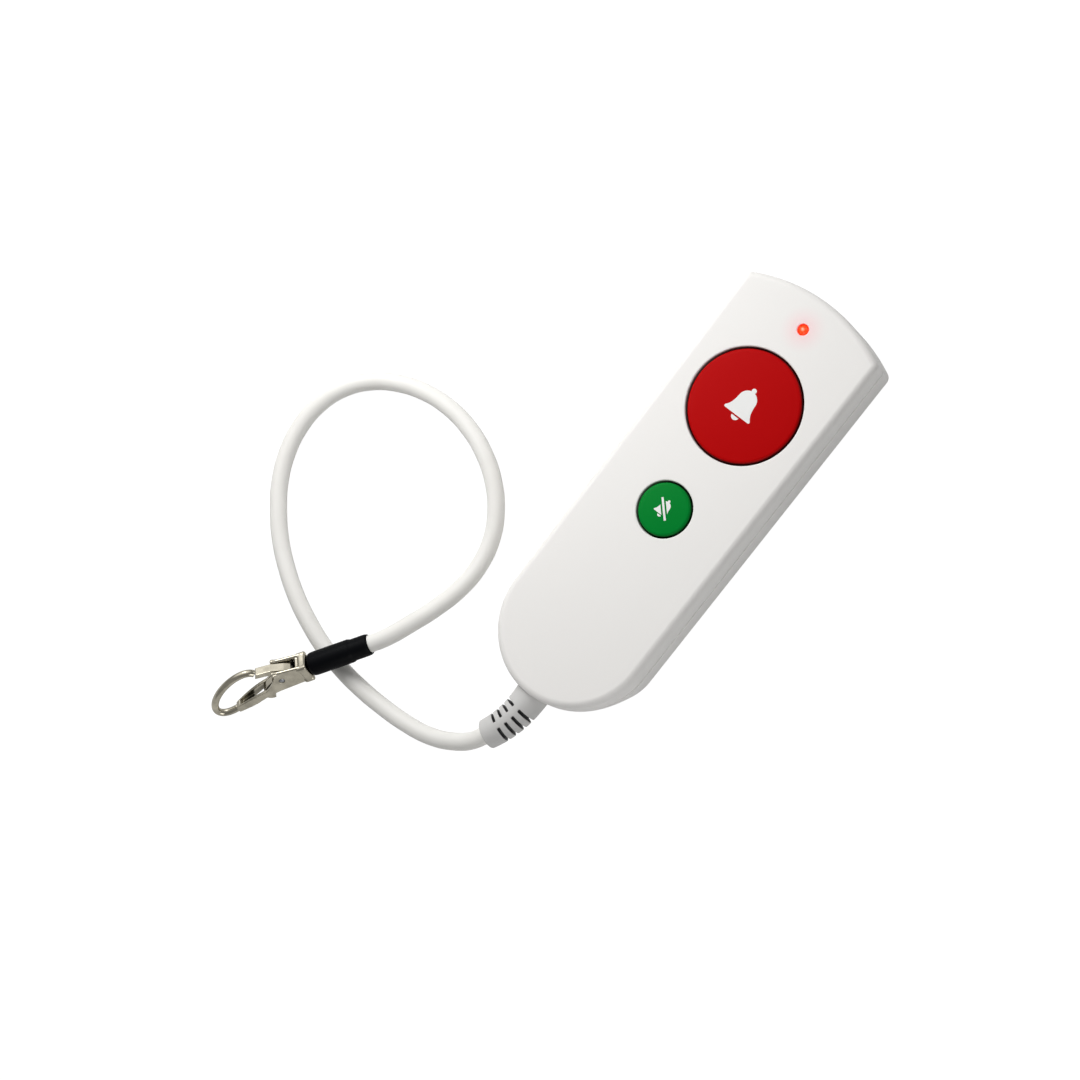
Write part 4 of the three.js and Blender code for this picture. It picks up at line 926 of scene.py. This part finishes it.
def screw_tool(x, y):
    hole = SCREW_HOLE_RADIUS
    profile = [(0, -1), (hole + 0.25, -1), (hole + 0.25, 0), (hole + 0.07, 0.07), (hole, 0.25)]
    profile += [(hole, SCREW_SEAT), (SHANK_HOLE_RADIUS, SCREW_SEAT), (SHANK_HOLE_RADIUS, 12), (0, 12)]
    return turned("screw_hole", profile, (x, y, 0), sides=48)


def make_rear():
    shell = rear_skin("rear_shell")
    rings = [ring(FLOOR_WALL, SHELL_WALL + BASE_EDGE_RADIUS / 2, 1.0)]
    rings.append(ring(FLOOR_WALL + 1.2, SHELL_WALL, boat_taper(1.2)))
    for share in (0.42, 0.66, 0.85):
        level = FLOOR_WALL + (PARTING - FLOOR_WALL) * share
        rings.append(ring(level, SHELL_WALL, boat_taper(level - FLOOR_WALL / 2)))
    rings.append(ring(PARTING + OVERRUN, SHELL_WALL))
    carve(shell, loft("cavity", rings))
    lip = loft("lip", [ring(REAR_RIM - OVERRUN, LIP_INSET), ring(REAR_RIM + LIP_HEIGHT, LIP_INSET)])
    inner = loft("lip_inside", [ring(REAR_RIM - 2, SHELL_WALL), ring(REAR_RIM + 3, SHELL_WALL)])
    fuse(shell, carve(lip, inner))
    half = DOOR_HALF + DOOR_GAP + SHELL_WALL / 2
    pad = block("pad", (-half, -HALF_LENGTH, FLOOR_WALL / 2), (half, DOOR_TOP_Y + SHELL_WALL, LEDGE_TOP))
    keep_inside(pad, rear_skin("bound"))
    half = BAY_HALF + BAY_WALL
    corner = (-half, BAY_TAIL_Y - BAY_WALL, LEDGE_TOP - 1)
    walls = block("walls", corner, (half, BAY_TOP_Y + BAY_WALL, BAY_HEIGHT))
    bosses = [post("boss", x, y, FLOOR_WALL / 2, REAR_RIM, BOSS_RADIUS) for x, y in SCREW_PLACES]
    rib = keep_inside(fork_rib(FLOOR_WALL / 2, PARTING - PARTING_GAP), rear_skin("bound"))
    fuse(shell, pad, walls, gather("bosses", bosses), rib)
    corner = (-BAY_HALF, BAY_TAIL_Y, -OVERRUN)
    bay = block("bay", corner, (BAY_HALF, BAY_TOP_Y, BAY_HEIGHT + OVERRUN))
    carve(shell, recess_tool(), *slot_tools(), bay, tail_hole())
    carve(shell, *[screw_tool(x, y) for x, y in SCREW_PLACES])
    return even_shading(shell)


GROOVE_DEPTH = 0.62
GROOVE_END = 0.6
GROOVE_RISE = -0.2
HOOK_EASE = 0.12


def make_door():
    corner = (-DOOR_HALF, -HALF_LENGTH - 2, 0)
    plate = block("door_panel", corner, (DOOR_HALF, DOOR_TOP_Y, DOOR_THICK), 0.3, 3)
    keep_inside(plate, rear_skin("bound"))
    hooks = []
    foot_low = LEDGE_TOP + SEAT_GAP
    foot_top = foot_low + HOOK_THICK
    for y in HOOK_YS:
        low = y - HOOK_LENGTH / 2
        high = y + HOOK_LENGTH / 2
        for side in (-1, 1):
            root, stem, foot = (side * (HOOK_X + reach) for reach in (0, HOOK_STEM, HOOK_STEM + HOOK_REACH))
            hooks.append(span("stem", root, stem, (low, DOOR_THICK / 2), (high, foot_top), HOOK_EASE))
            hooks.append(span("toe", root, foot, (low, foot_low), (high, foot_top), HOOK_EASE))
    fuse(plate, *hooks)
    profile = [(0, -GRIP_HALF)]
    for across, up in quarter(1, 4):
        profile.append((GROOVE_DEPTH * up, GROOVE_END - GRIP_HALF - GROOVE_END * across))
    profile += [(radius, -height) for radius, height in profile[::-1]]
    ys = [GRIP_START_Y - order * GRIP_PITCH for order in range(GRIP_COUNT)]
    carve(plate, *[turned("groove", profile, (0, y, GROOVE_RISE), "X", 24) for y in ys])
    return even_shading(plate)


# Caps, with a crowned top, a rounded rim and a printed mark
def cap_profile(radius, crown, raise_by=0.0):
    flat_reach = radius - CAP_RIM_RADIUS
    rim_top = BODY_THICK + CAP_PROUD - crown + raise_by
    points = []
    for across, up in quarter(0, 7):
        points.append((flat_reach + CAP_RIM_RADIUS * across, rim_top - CAP_RIM_RADIUS * (1 - up)))
    shares = [1 - step / 6 for step in range(1, 7)]
    return points + [(flat_reach * share, rim_top + crown * (1 - share**2)) for share in shares]


def make_cap(name, y, radius, skirt, crown, seat_radius):
    inner = radius - skirt
    ceiling = BODY_THICK + CAP_PROUD - crown - CAP_TOP_WALL
    flange_top = FACE_INSIDE - SEAT_GAP
    flange_low = flange_top - CAP_FLANGE_HEIGHT
    reach = radius + CAP_FLANGE_REACH
    profile = [(0, ceiling), (inner, ceiling), (inner, flange_low), (reach, flange_low)]
    profile += [(reach, flange_top), (radius, flange_top)] + cap_profile(radius, crown)
    piece = turned(name, profile, (0, y, 0), sides=112)
    seat_top = ceiling + CAP_TOP_WALL / 2
    seat = tube("seat", ceiling - 1, seat_top, seat_radius, min(seat_radius + 0.8, inner + skirt / 2), y)
    fuse(piece, seat, post("stem", 0, y, PLUNGER_TOP + SEAT_GAP, seat_top, CAP_STEM_RADIUS, 40))
    return smooth(piece, 30)


PRINT_THICK = 0.035


def make_print(name, y, radius, crown, shape):
    """A flat mark that follows the crown of its cap."""
    low = BODY_THICK - 1
    top = cap_profile(radius, crown, PRINT_THICK)[7:]
    profile = [(0, low), (top[0][0], low)] + top
    keep_inside(shape, turned("layer", profile, (0, y, 0)))
    shape.name = name
    carve(shape, turned("under", [(r, h - PRINT_THICK) for r, h in profile], (0, y, 0)))
    return smooth(shape, 30)


def bell_shape(name, y, size):
    """A plain bell: dome, flared lip, knob and clapper."""
    right = [(0, 4.5)] + arc((0, 1.6), 2.9, 84, 0, 8)
    right += bend((2.9, 1.6), (3.1, -1.3), (4.3, -2.5), 6) + arc((4.15, -2.95), 0.42, 60, -90, 4)
    outline = right + [(-x, height) for x, height in right[:0:-1]]
    low, high = BODY_THICK - 1.5, BODY_THICK + 2
    body = prism(name, [(x * size, y + height * size) for x, height in outline], low, high)
    knob = post("knob", 0, y + 4.85 * size, low, high, 0.75 * size, 24)
    clapper = post("clapper", 0, y - 3.7 * size, low, high, 1.25 * size)
    cover = block("above", (-3 * size, y - 3.85 * size, 10), (3 * size, y - size, 30))
    return gather(name, [fuse(body, knob), carve(clapper, cover)])


def bar(name, y, length, width):
    """A bar across a mark, turned half way between upright and level."""
    piece = block(name, (-length / 2, -width / 2, BODY_THICK - 2), (length / 2, width / 2, BODY_THICK + 3))
    piece.rotation_euler = (0, 0, radians(-45))
    piece.location = (0, y * MM, 0)
    return settle(piece)


def crossed_bell_shape(name, y, size):
    """The same bell with a bar through it."""
    bell = carve(bell_shape(name, y, size), bar("clear", y, 14 * size, 3.2 * size))
    return gather(name, [bell, bar("bar", y, 13 * size, 1.2 * size)])


CANCEL_MARK_SIZE = 0.52
front_shell = dress(make_front(), "shell_plastic", "housing", "front_cover")
rear_shell = dress(make_rear(), "shell_plastic", "housing", "rear_cover")
door_panel = dress(make_door(), "shell_plastic", "battery_door", "battery_door")
call_cap = make_cap("call_cap", CALL_Y, CALL_RADIUS, 1.6, CALL_CROWN, 6.8)
dress(call_cap, "button_red", "call_button", "call_button")
cancel_cap = make_cap("cancel_cap", CANCEL_Y, CANCEL_RADIUS, 1.2, CANCEL_CROWN, 5.7)
dress(cancel_cap, "button_green", "cancel_button", "cancel_button")
bell = bell_shape("call_mark", CALL_Y, 1.0)
call_print = make_print("call_print", CALL_Y, CALL_RADIUS, CALL_CROWN, bell)
dress(call_print, "shell_plastic", "call_button", material=PRINT_WHITE)
crossed_bell = crossed_bell_shape("cancel_mark", CANCEL_Y, CANCEL_MARK_SIZE)
cancel_print = make_print("cancel_print", CANCEL_Y, CANCEL_RADIUS, CANCEL_CROWN, crossed_bell)
dress(cancel_print, "shell_plastic", "cancel_button", material=PRINT_WHITE)

LAMP_FLANGE = 1.9
LAMP_HEIGHT = 5.3
LEG_X = 1.27
LEG_HALF = 0.25
LEG_LOW = 7.7


def make_lamp():
    """The domed lamp on its flange, with two legs."""
    tip = BODY_THICK + 0.3
    base = tip - LAMP_HEIGHT
    flange = LAMP_FLANGE
    profile = [(0, base), (flange, base), (flange, base + 0.9), (flange - 0.1, base + 1)]
    dome = arc((0, tip - LAMP_RADIUS), LAMP_RADIUS, 0, 90, 8)[:-1]
    profile += [(LAMP_RADIUS, base + 1)] + dome + [(0, tip)]
    piece = turned("lamp_dome", profile, (0, LAMP_Y, 0), sides=40)
    for x in (-LEG_X, LEG_X):
        low = (x - LEG_HALF, LAMP_Y - LEG_HALF, LEG_LOW)
        fuse(piece, block("leg", low, (x + LEG_HALF, LAMP_Y + LEG_HALF, base + 0.5), 0.06))
    return smooth(piece, 30)


dress(make_lamp(), "lamp_plastic", "housing", "status_lamp")

SCREW_SHANK = 1.25
THREAD_DEPTH = 0.23
THREAD_PITCH = 0.7
CROSS_REACH = 1.4
CROSS_HALF = 0.25


def make_screw(name, x, y):
    """A pan-head screw, head down, with a cross recess."""
    head = SCREW_HEAD_LOW
    seat = head + 1.5
    profile = [(0, head), (1.5, head), (1.95, head + 0.12), (2.2, head + 0.42), (2.3, head + 0.8)]
    profile += [(2.3, seat), (SCREW_SHANK, seat)]
    for turn in range(14):
        level = seat + 0.8 + turn * THREAD_PITCH
        profile += [(SCREW_SHANK, level), (SCREW_SHANK - THREAD_DEPTH, level + THREAD_PITCH / 2)]
    profile += [(SCREW_SHANK, seat + 10.8), (0.4, seat + 12), (0, seat + 12)]
    piece = turned(name, profile, (x, y, 0), sides=32)
    for across, along in ((CROSS_REACH, CROSS_HALF), (CROSS_HALF, CROSS_REACH)):
        carve(piece, block("cross", (x - across, y - along, head - 1), (x + across, y + along, head + 0.85)))
    return smooth(piece, 30)


for order, (x, y) in enumerate(SCREW_PLACES, 1):
    dress(make_screw("screw_%d" % order, x, y), "spring_steel", "housing", "housing_screw_%d" % order)
# Bend relief: tapered and bent, with its flange inside the wall and four pairs of slots
SLOT_START = 5.4
SLOT_PITCH = 2.5
SLOT_WIDTHS = {-1: 0.8, 1: 0.95}
SLOT_STARTS = {-1: 0.8, 1: 1.15}
SLOT_COUNT = 4
SLOT_SHARES = (0.4, 0.88)
RELIEF_LENGTH = RELIEF_ROOT_Y - RELIEF_BEND_START + RELIEF_BEND_LENGTH
SLOT_SHADE_START = 0.12
SLOT_SHADE_RUN = 0.3


def slot_depth(path, radius_at):
    """How far down in the slots a point lies."""
    places = [(Vector(place), order / (len(path) - 1)) for order, place in enumerate(path)]

    def depth_at(where, normal):
        away, share = min(((where - place).length, share) for place, share in places)
        inside = SLOT_SHARES[0] < share < SLOT_SHARES[1]
        return (radius_at(share) - SLOT_SHADE_START - away) / SLOT_SHADE_RUN if inside else 0

    return depth_at


def make_relief():
    wall_share = (RELIEF_ROOT_Y + HALF_LENGTH) / RELIEF_LENGTH

    def radius_at(share):
        past = clamp((share - wall_share) / (1 - wall_share))
        return RELIEF_RADIUS + (RELIEF_TIP_RADIUS - RELIEF_RADIUS) * past

    path = relief_path(RELIEF_ROOT_Y, 48)
    outer = loft("bend_relief", sweep_rings(path, radius_at, 48))
    for order in range(SLOT_COUNT):
        along = RELIEF_ROOT_Y + HALF_LENGTH + SLOT_START + order * SLOT_PITCH
        here = Vector(relief_point(RELIEF_ROOT_Y, along))
        ahead = (Vector(relief_point(RELIEF_ROOT_Y, along + 0.2)) - here).normalized()
        for side in (-1, 1):
            half = SLOT_WIDTHS[side] / 2
            gap = span("gap", side * SLOT_STARTS[side], side * 10, (-half, -10), (half, 10))
            gap.rotation_euler = (0, 0, atan2(ahead.x, -ahead.y))
            gap.location = here * MM
            carve(outer, settle(gap))
    core = loft("core", sweep_rings(path, lambda share: CORD_RADIUS + 0.8, 32))
    flange = rod("flange", 0, 2, 1, axis="Y", sides=48)
    flange.scale = (7, 1, 4.9)
    flange.location = (0, RELIEF_FLANGE_Y * MM, PARTING * MM)
    fuse(outer, core, settle(flange))
    bore_path = [Vector(place) for place in relief_path(RELIEF_ROOT_Y + OVERRUN, 48)]
    bore_path.append(bore_path[-1] + (bore_path[-1] - bore_path[-2]) * 2)
    carve(outer, loft("bore", sweep_rings(bore_path, lambda share: CORD_RADIUS + 0.12, 32)))
    cast(outer, 0.14, 6)
    mark(outer, slot_depth(path, radius_at))
    return outer


bend_relief = dress(make_relief(), "relief_plastic", "housing", "strain_relief")


# Sleeve and clip, made along X from the collar's back face and then put in place
def put_on_clip(piece):
    piece.matrix_world = CLIP_PLACE
    return settle(piece)


SLEEVE_PROFILE = (
    (0, -12.5), (2.66, -12.5), (2.66, -19.3), (2.74, -19.46), (2.88, -19.42), (3.06, -19.1),
    (3.16, -18.6), (3.2, -18), (3.2, -14.1), (3.24, -13.9), (3.42, -13.4), (3.5, -13.1),
    (3.5, -1.7), (3.44, -1.1), (3.32, -0.65), (3.12, -0.4), (2.9, -0.3), (1.95, -0.3),
    (1.95, -8.3), (0, -8.3),
)


def make_sleeve():
    return put_on_clip(smooth(turned("sleeve_tube", SLEEVE_PROFILE, axis="X"), 40))


sleeve_tube = dress(make_sleeve(), "sleeve_rubber", "housing", "cord_sleeve")
COLLAR_LENGTH = 2.8
COLLAR_HALF_HEIGHT = 3.6
COLLAR_HALF = 3.3
BODY_HALF = 2.7
BODY_FRONT_X = 10.6
BODY_NOSE_Z = 4.4
BODY_LOW_Z = -3.5
CLIP_WALL = 1.05
CHANNEL_HALF = BODY_HALF - CLIP_WALL
WALL_FOOT = (15.2, -2.0)
ARM_BEND = (20.0, -5.0)
ARM_RIM_RISE = 2.2
RING_WIRE = 1.1
HOOK_CENTRE = (24.5, -0.9)
HOOK_HALF_LENGTH = 7.85
HOOK_HALF_HEIGHT = 6.8
HOOK_LEAN = 0.62
HOOK_DROOP = 0.18
HOOK_ANGLES = (136, -100)
PIVOT = (9.0, 0.6)
PIN_RADIUS = 0.8
GATE_GAP = 0.3
GATE_HALF = CHANNEL_HALF - GATE_GAP
GATE_THICK = 1.9
TAB_TIP = (17.0, -7.3)
TAB_PASS = -4.5
TAB_THICK = 2.2
TRIGGER_TURNS = 4
TRIGGER_COIL_RADIUS = 0.9
TRIGGER_WIRE = 0.2
PIN_PLACE = (PIVOT[0], 0, PIVOT[1])
PLAN_END = 0.6
PIP_PROFILE = ((0, 0.1), (0.75, 0.1), (0.95, 0.35), (0.95, 2.6), (0.8, 3.0), (0.4, 3.25), (0, 3.3))
SHANK_PROFILE = ((0, -8), (1.6, -8), (1.9, -7.7), (1.9, 1), (0, 1))
RAIL_SHARES = (0, 0.3, 0.6, 0.8, 0.87, 0.92, 0.96, 0.985, 1.0)
RAIL_RADII = (0.5, 0.5, 0.52, 0.56, 0.7, 0.84, 0.8, 0.6, 0.25)
RAIL_SPREAD = CHANNEL_HALF + 0.62


def hook_point(share):
    angle = radians(HOOK_ANGLES[0] + (HOOK_ANGLES[1] - HOOK_ANGLES[0]) * share)
    rise = HOOK_HALF_HEIGHT * sin(angle)
    run = HOOK_HALF_LENGTH * cos(angle)
    return (HOOK_CENTRE[0] + run - HOOK_LEAN * rise, 0, HOOK_CENTRE[1] + rise - HOOK_DROOP * run)


ARM_ROOT = hook_point(1)


def by(point, x, z):
    """A point of the side view, as far as x and z from another."""
    return (point[0] + x, point[-1] + z)


def plan_outline(half_width, end_half):
    """The clip from above: full width to the walls' front, then narrowing to the hook's root."""
    right = [(0, -half_width), (BODY_FRONT_X, -half_width)]
    bend_on(right, (ARM_BEND[0], -half_width), (ARM_ROOT[0], -end_half), 10)
    return right + [(x, -y) for x, y in right[::-1]]


def side_outline():
    """The clip from the side: walls with a hollowed front edge, and the arm under the opening."""
    outline = [(1.4, -3.05), (BODY_FRONT_X, BODY_LOW_Z)]
    bend_on(outline, (WALL_FOOT[0], BODY_LOW_Z - 0.3), by(ARM_BEND, 0, -RING_WIRE), 8)
    outline += [by(ARM_ROOT, 0, -RING_WIRE), by(ARM_ROOT, 0, RING_WIRE * 1.15)]
    bend_on(outline, by(ARM_BEND, 0, ARM_RIM_RISE), WALL_FOOT, 8)
    bend_on(outline, (BODY_FRONT_X + 0.5, PIVOT[1]), (BODY_FRONT_X - 0.35, BODY_NOSE_Z - 0.75), 8)
    return outline + [(BODY_FRONT_X - 0.35, BODY_NOSE_Z), (1.4, 3.05)]


def within_plan(piece, half_width=CHANNEL_HALF, end_half=PLAN_END):
    return keep_inside(piece, prism("plan", plan_outline(half_width, end_half), -12, 12))


def make_rail(side):
    """One of the round rails on the walls' tops, with its bulb nose."""
    start = Vector((COLLAR_LENGTH - 1.2, side * RAIL_SPREAD, COLLAR_HALF_HEIGHT - 0.5))
    stop = Vector((BODY_FRONT_X + 0.2, side * RAIL_SPREAD, BODY_NOSE_Z - 0.15))
    centres = [start.lerp(stop, share) for share in RAIL_SHARES]
    return loft("rail", sweep_rings(centres, lambda share: RAIL_RADII[round(share * 8)], 20))


def make_trough():
    """The hollow between the walls, open at the top, that runs out before the hook's root."""
    start_x = COLLAR_LENGTH + CLIP_WALL / 2
    outline = [(start_x, 8), (start_x, -2.0), (BODY_FRONT_X, BODY_LOW_Z + CLIP_WALL)]
    outline += [(WALL_FOOT[0], BODY_LOW_Z), by(ARM_BEND, 0, CLIP_WALL - RING_WIRE)]
    outline += [by(ARM_ROOT, -2.2, 1.1), by(ARM_ROOT, -1.2, 1.9), (ARM_ROOT[0], 8)]
    return within_plan(prism("trough", outline, -CHANNEL_HALF, CHANNEL_HALF, "Y"))


HOLLOW_RIM = (
    (COLLAR_LENGTH, 2.3),
    (BODY_FRONT_X, 2.9),
    by(WALL_FOOT, 0, -0.1),
    by(ARM_BEND, 0, 1.1),
    by(ARM_ROOT, -1, 0.9),
)
HOLLOW_SIDE_RUN = 0.25
HOLLOW_TOP_RUN = 0.7


def trough_depth(place, normal):
    """How far down in the trough a point lies."""
    x, y, z = place
    if not HOLLOW_RIM[0][0] < x < HOLLOW_RIM[-1][0] or normal.z < -0.2:
        return 0
    (x0, top0), (x1, top1) = [pair for pair in zip(HOLLOW_RIM, HOLLOW_RIM[1:]) if pair[0][0] <= x][-1]
    top = top0 + (top1 - top0) * (x - x0) / (x1 - x0)
    past = max((x - BODY_FRONT_X) / (HOLLOW_RIM[-1][0] - BODY_FRONT_X), 0)
    half = CHANNEL_HALF - (CHANNEL_HALF - PLAN_END) * past**2
    return clamp((half + 0.2 - abs(y)) / HOLLOW_SIDE_RUN) * clamp((top - z) / HOLLOW_TOP_RUN)


def pin_hole(gap):
    return rod("pin_hole", -4, 4, PIN_RADIUS + gap, PIN_PLACE, "Y", 32)


def make_clip_body():
    body = prism("clip_frame", side_outline(), -BODY_HALF, BODY_HALF, "Y")
    within_plan(body, BODY_HALF, RING_WIRE)
    fuse(body, make_rail(-1), make_rail(1))
    slot = block(
        "tab_slot",
        (PIVOT[0] - 2 * RING_WIRE, -CHANNEL_HALF, -10),
        (ARM_BEND[0] + RING_WIRE, CHANNEL_HALF, -1.8),
    )
    within_plan(slot)
    carve(body, make_trough(), slot)
    corner = Vector((COLLAR_LENGTH, COLLAR_HALF, COLLAR_HALF_HEIGHT))
    collar = block("collar", (0, -corner.y, -corner.z), corner, 1.15, 5)
    pips = [turned("pip", PIP_PROFILE, (0, y, z), "X", 20) for y in (-2.35, 2.35) for z in (-2.7, 2.7)]
    shank = turned("shank", SHANK_PROFILE, axis="X", sides=40)
    hook = [hook_point(i / 60) for i in range(61)]
    fuse(body, collar, *pips, shank, loft("hook", sweep_rings(hook, lambda share: RING_WIRE, 28, (0, 1, 0))))
    carve(body, pin_hole(0.1))
    cast(body, 0.12, 3)
    mark(body, trough_depth)
    return put_on_clip(body)


GATE_NOSE = hook_point(0)
GATE_REACH = hypot(GATE_NOSE[0] - PIVOT[0], GATE_NOSE[2] - PIVOT[1]) - 1.4 * GATE_GAP
GATE_TOP = GATE_NOSE[2] + RING_WIRE / 2


def make_gate():
    nose = []
    for step in range(6):
        level = GATE_TOP - GATE_THICK * 0.85 * step / 5
        nose.append((PIVOT[0] + sqrt(GATE_REACH**2 - (level - PIVOT[1]) ** 2), level))
    tail = (COLLAR_LENGTH + 2.2, COLLAR_HALF_HEIGHT - RING_WIRE / 6)
    over = (BODY_FRONT_X, GATE_TOP - RING_WIRE / 2)
    outline = nose[::-1] + [over, by(tail, GATE_THICK, 0), by(tail, 0, -GATE_THICK / 2)]
    outline += [by(tail, GATE_THICK / 2, -GATE_THICK), by(over, 0, -GATE_THICK)]
    slab = prism("clip_trigger", outline, -GATE_HALF, GATE_HALF, "Y")
    heel = PIVOT[0] - 1.8 * PIN_RADIUS
    front = PIVOT[0] + 3.2 * PIN_RADIUS
    root = GATE_TOP - RING_WIRE - GATE_THICK / 2
    tab = [(heel, root), (heel, PIVOT[1] - 2 * PIN_RADIUS)]
    bend_on(tab, (heel + PIN_RADIUS, TAB_PASS + PIN_RADIUS), (TAB_TIP[0] - 2 * TAB_THICK, TAB_PASS), 6)
    bend_on(tab, (TAB_TIP[0] - TAB_THICK, TAB_PASS - PIN_RADIUS), by(TAB_TIP, -TAB_THICK, 0), 5)
    bend_on(tab, TAB_TIP, (TAB_TIP[0] + TAB_THICK / 4, TAB_PASS - TAB_THICK / 3), 6)
    bend_on(tab, (TAB_TIP[0], TAB_PASS + TAB_THICK), (front + TAB_THICK / 2, PIVOT[1] - PIN_RADIUS), 6)
    bend_on(tab, (front, PIVOT[1] + PIN_RADIUS), (front, root), 4)
    fuse(slab, prism("tab", tab, -GATE_HALF * 0.9, GATE_HALF * 0.9, "Y"))
    carve(slab, pin_hole(0.12))
    return put_on_clip(cast(slab, 0.1, 3))


def make_pin():
    half = BODY_HALF
    profile = [(0, -half), (0.55, -half), (0.75, -half + 0.1), (PIN_RADIUS, -half + 0.3)]
    profile += [(radius, -height) for radius, height in profile[::-1]]
    return put_on_clip(smooth(turned("clip_rivet", profile, PIN_PLACE, "Y", 32), 40))


def make_trigger_spring():
    start = COLLAR_LENGTH + CLIP_WALL / 2 + SEAT_GAP + 0.2
    stop = PIVOT[0] - 1.9 * PIN_RADIUS - SEAT_GAP - 0.2
    level = PIVOT[1] - PIN_RADIUS

    def point_at(angle, share):
        across = TRIGGER_COIL_RADIUS * cos(angle)
        return (start + (stop - start) * share, across, level + TRIGGER_COIL_RADIUS * sin(angle))

    return put_on_clip(wound("trigger_spring", point_at, TRIGGER_TURNS, 18, TRIGGER_WIRE, 10))


clip_frame = dress(make_clip_body(), "clip_nickel", "housing", "clip_body")
clip_trigger = dress(make_gate(), "clip_nickel", "clip_gate", "clip_gate")
clip_rivet = dress(make_pin(), "spring_steel", "housing", "clip_pin")
trigger_spring = dress(make_trigger_spring(), "spring_steel", "housing", "clip_spring")
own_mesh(trigger_spring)

CAP_SPRING_TURNS = 3.5


def make_cap_spring(name, node, wire, travel):
    """A return spring in its node's place."""
    low, high = ([c / MM for c in corner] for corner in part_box(node))
    radius = (high[0] - low[0]) / 2 - wire
    x, y = ((low[axis] + high[axis]) / 2 for axis in (0, 1))
    rise = high[2] - low[2] - 2 * wire

    def point_at(angle, share):
        return (x + radius * cos(angle), y + radius * sin(angle), low[2] + wire + rise * share)

    piece = wound(name, point_at, CAP_SPRING_TURNS, 24, wire, 8)
    dress(piece, "spring_steel", "housing", node)
    [c * MM for c in (x, y, low[2])]
    1 - travel / (high[2] - low[2])
    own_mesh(piece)


make_cap_spring("call_spring", "call_button_spring", 0.35, 1.05)
make_cap_spring("cancel_spring", "cancel_button_spring", 0.25, 0.85)

# The nodes that stay, each with its own finish
for part in frame["record"]["subparts"]:
    for spot in frame["nodes"][part["node"]].material_slots:
        spot.material = FINISHES[part["material_slot"]]

# Floor, lamps and sky
FLOOR_TONE = 0.75
FLOOR_SHOWN = (("Is Glossy Ray", 0.8, 0.5), ("Is Transmission Ray", 0.82, 1.2), ("Is Camera Ray", 0.82, 1.2))
LAMPS = (
    ("key", (-0.2, 0.05, 0.22), (0, 0.01, 0), 0.24, 0.68, False),
    ("rim", (0.1, 0.32, 0.16), (0, 0.06, 0.01), 0.16, 0.12, True),
    ("fill", (0.32, -0.24, 0.14), (0, -0.02, 0.01), 0.3, 0.46, True),
)
SKY_AIM = (-0.62, 0.3, 0.72)
SKY_GLOW = (0.6, 0.96, 0.14, 0.64)
SKY_SPARK = (0.975, 0.985, 0, 2.5)
SKY_GLOSS = 1.9


def make_floor():
    deselect_all()
    bpy.ops.mesh.primitive_plane_add(size=6, location=(0, 0, -0.00002))
    floor = settle(named("studio_floor"))
    paper = Recipe("studio paper", (FLOOR_TONE,) * 3, 0.9, Specular_IOR_Level=0.1)
    surface = Link(paper, paper.shader.outputs[0])
    for shown in FLOOR_SHOWN:
        surface = paper.shown_as(surface, *shown)
    paper.feed(paper.nodes["Material Output"].inputs["Surface"], surface)
    floor.data.materials.append(paper.material)


def place_light(name, place, target, size, power, in_gloss):
    data = bpy.data.lights.new(name, "AREA")
    data.shape = "DISK"
    data.size = size
    data.energy = power
    lamp = bpy.data.objects.new(name, data)
    bpy.context.collection.objects.link(lamp)
    lamp.location = place
    lamp.rotation_euler = (Vector(target) - Vector(place)).to_track_quat("-Z", "Y").to_euler()
    lamp.visible_glossy = in_gloss


def make_world():
    """A broad soft light high on the left with a bright heart, stronger in gloss, in a dim room."""
    world = bpy.data.worlds.new("studio")
    bpy.context.scene.world = world
    tree = Tree(world)
    place = tree.node("TexCoord", output="Generated")
    aim = tree.node("VectorMath", {"operation": "DOT_PRODUCT"}, place, SKY_AIM, output="Value")
    glow = tree.node("MapRange", {"interpolation_type": "SMOOTHSTEP"}, aim, *SKY_GLOW)
    spark = tree.node("MapRange", None, aim, *SKY_SPARK)
    gloss = tree.node("LightPath", output="Is Glossy Ray") * (SKY_GLOSS - 1) + 1
    sky = tree.node("Background", None, (1, 1, 1, 1), (glow + spark) * gloss)
    tree.feed(tree.nodes["World Output"].inputs["Surface"], tree.shown_as(sky, "Is Camera Ray", 1.0, 1.0))


make_floor()
make_world()
for lamp_values in LAMPS:
    place_light(*lamp_values)
bpy.context.scene.view_settings.view_transform = "Standard"
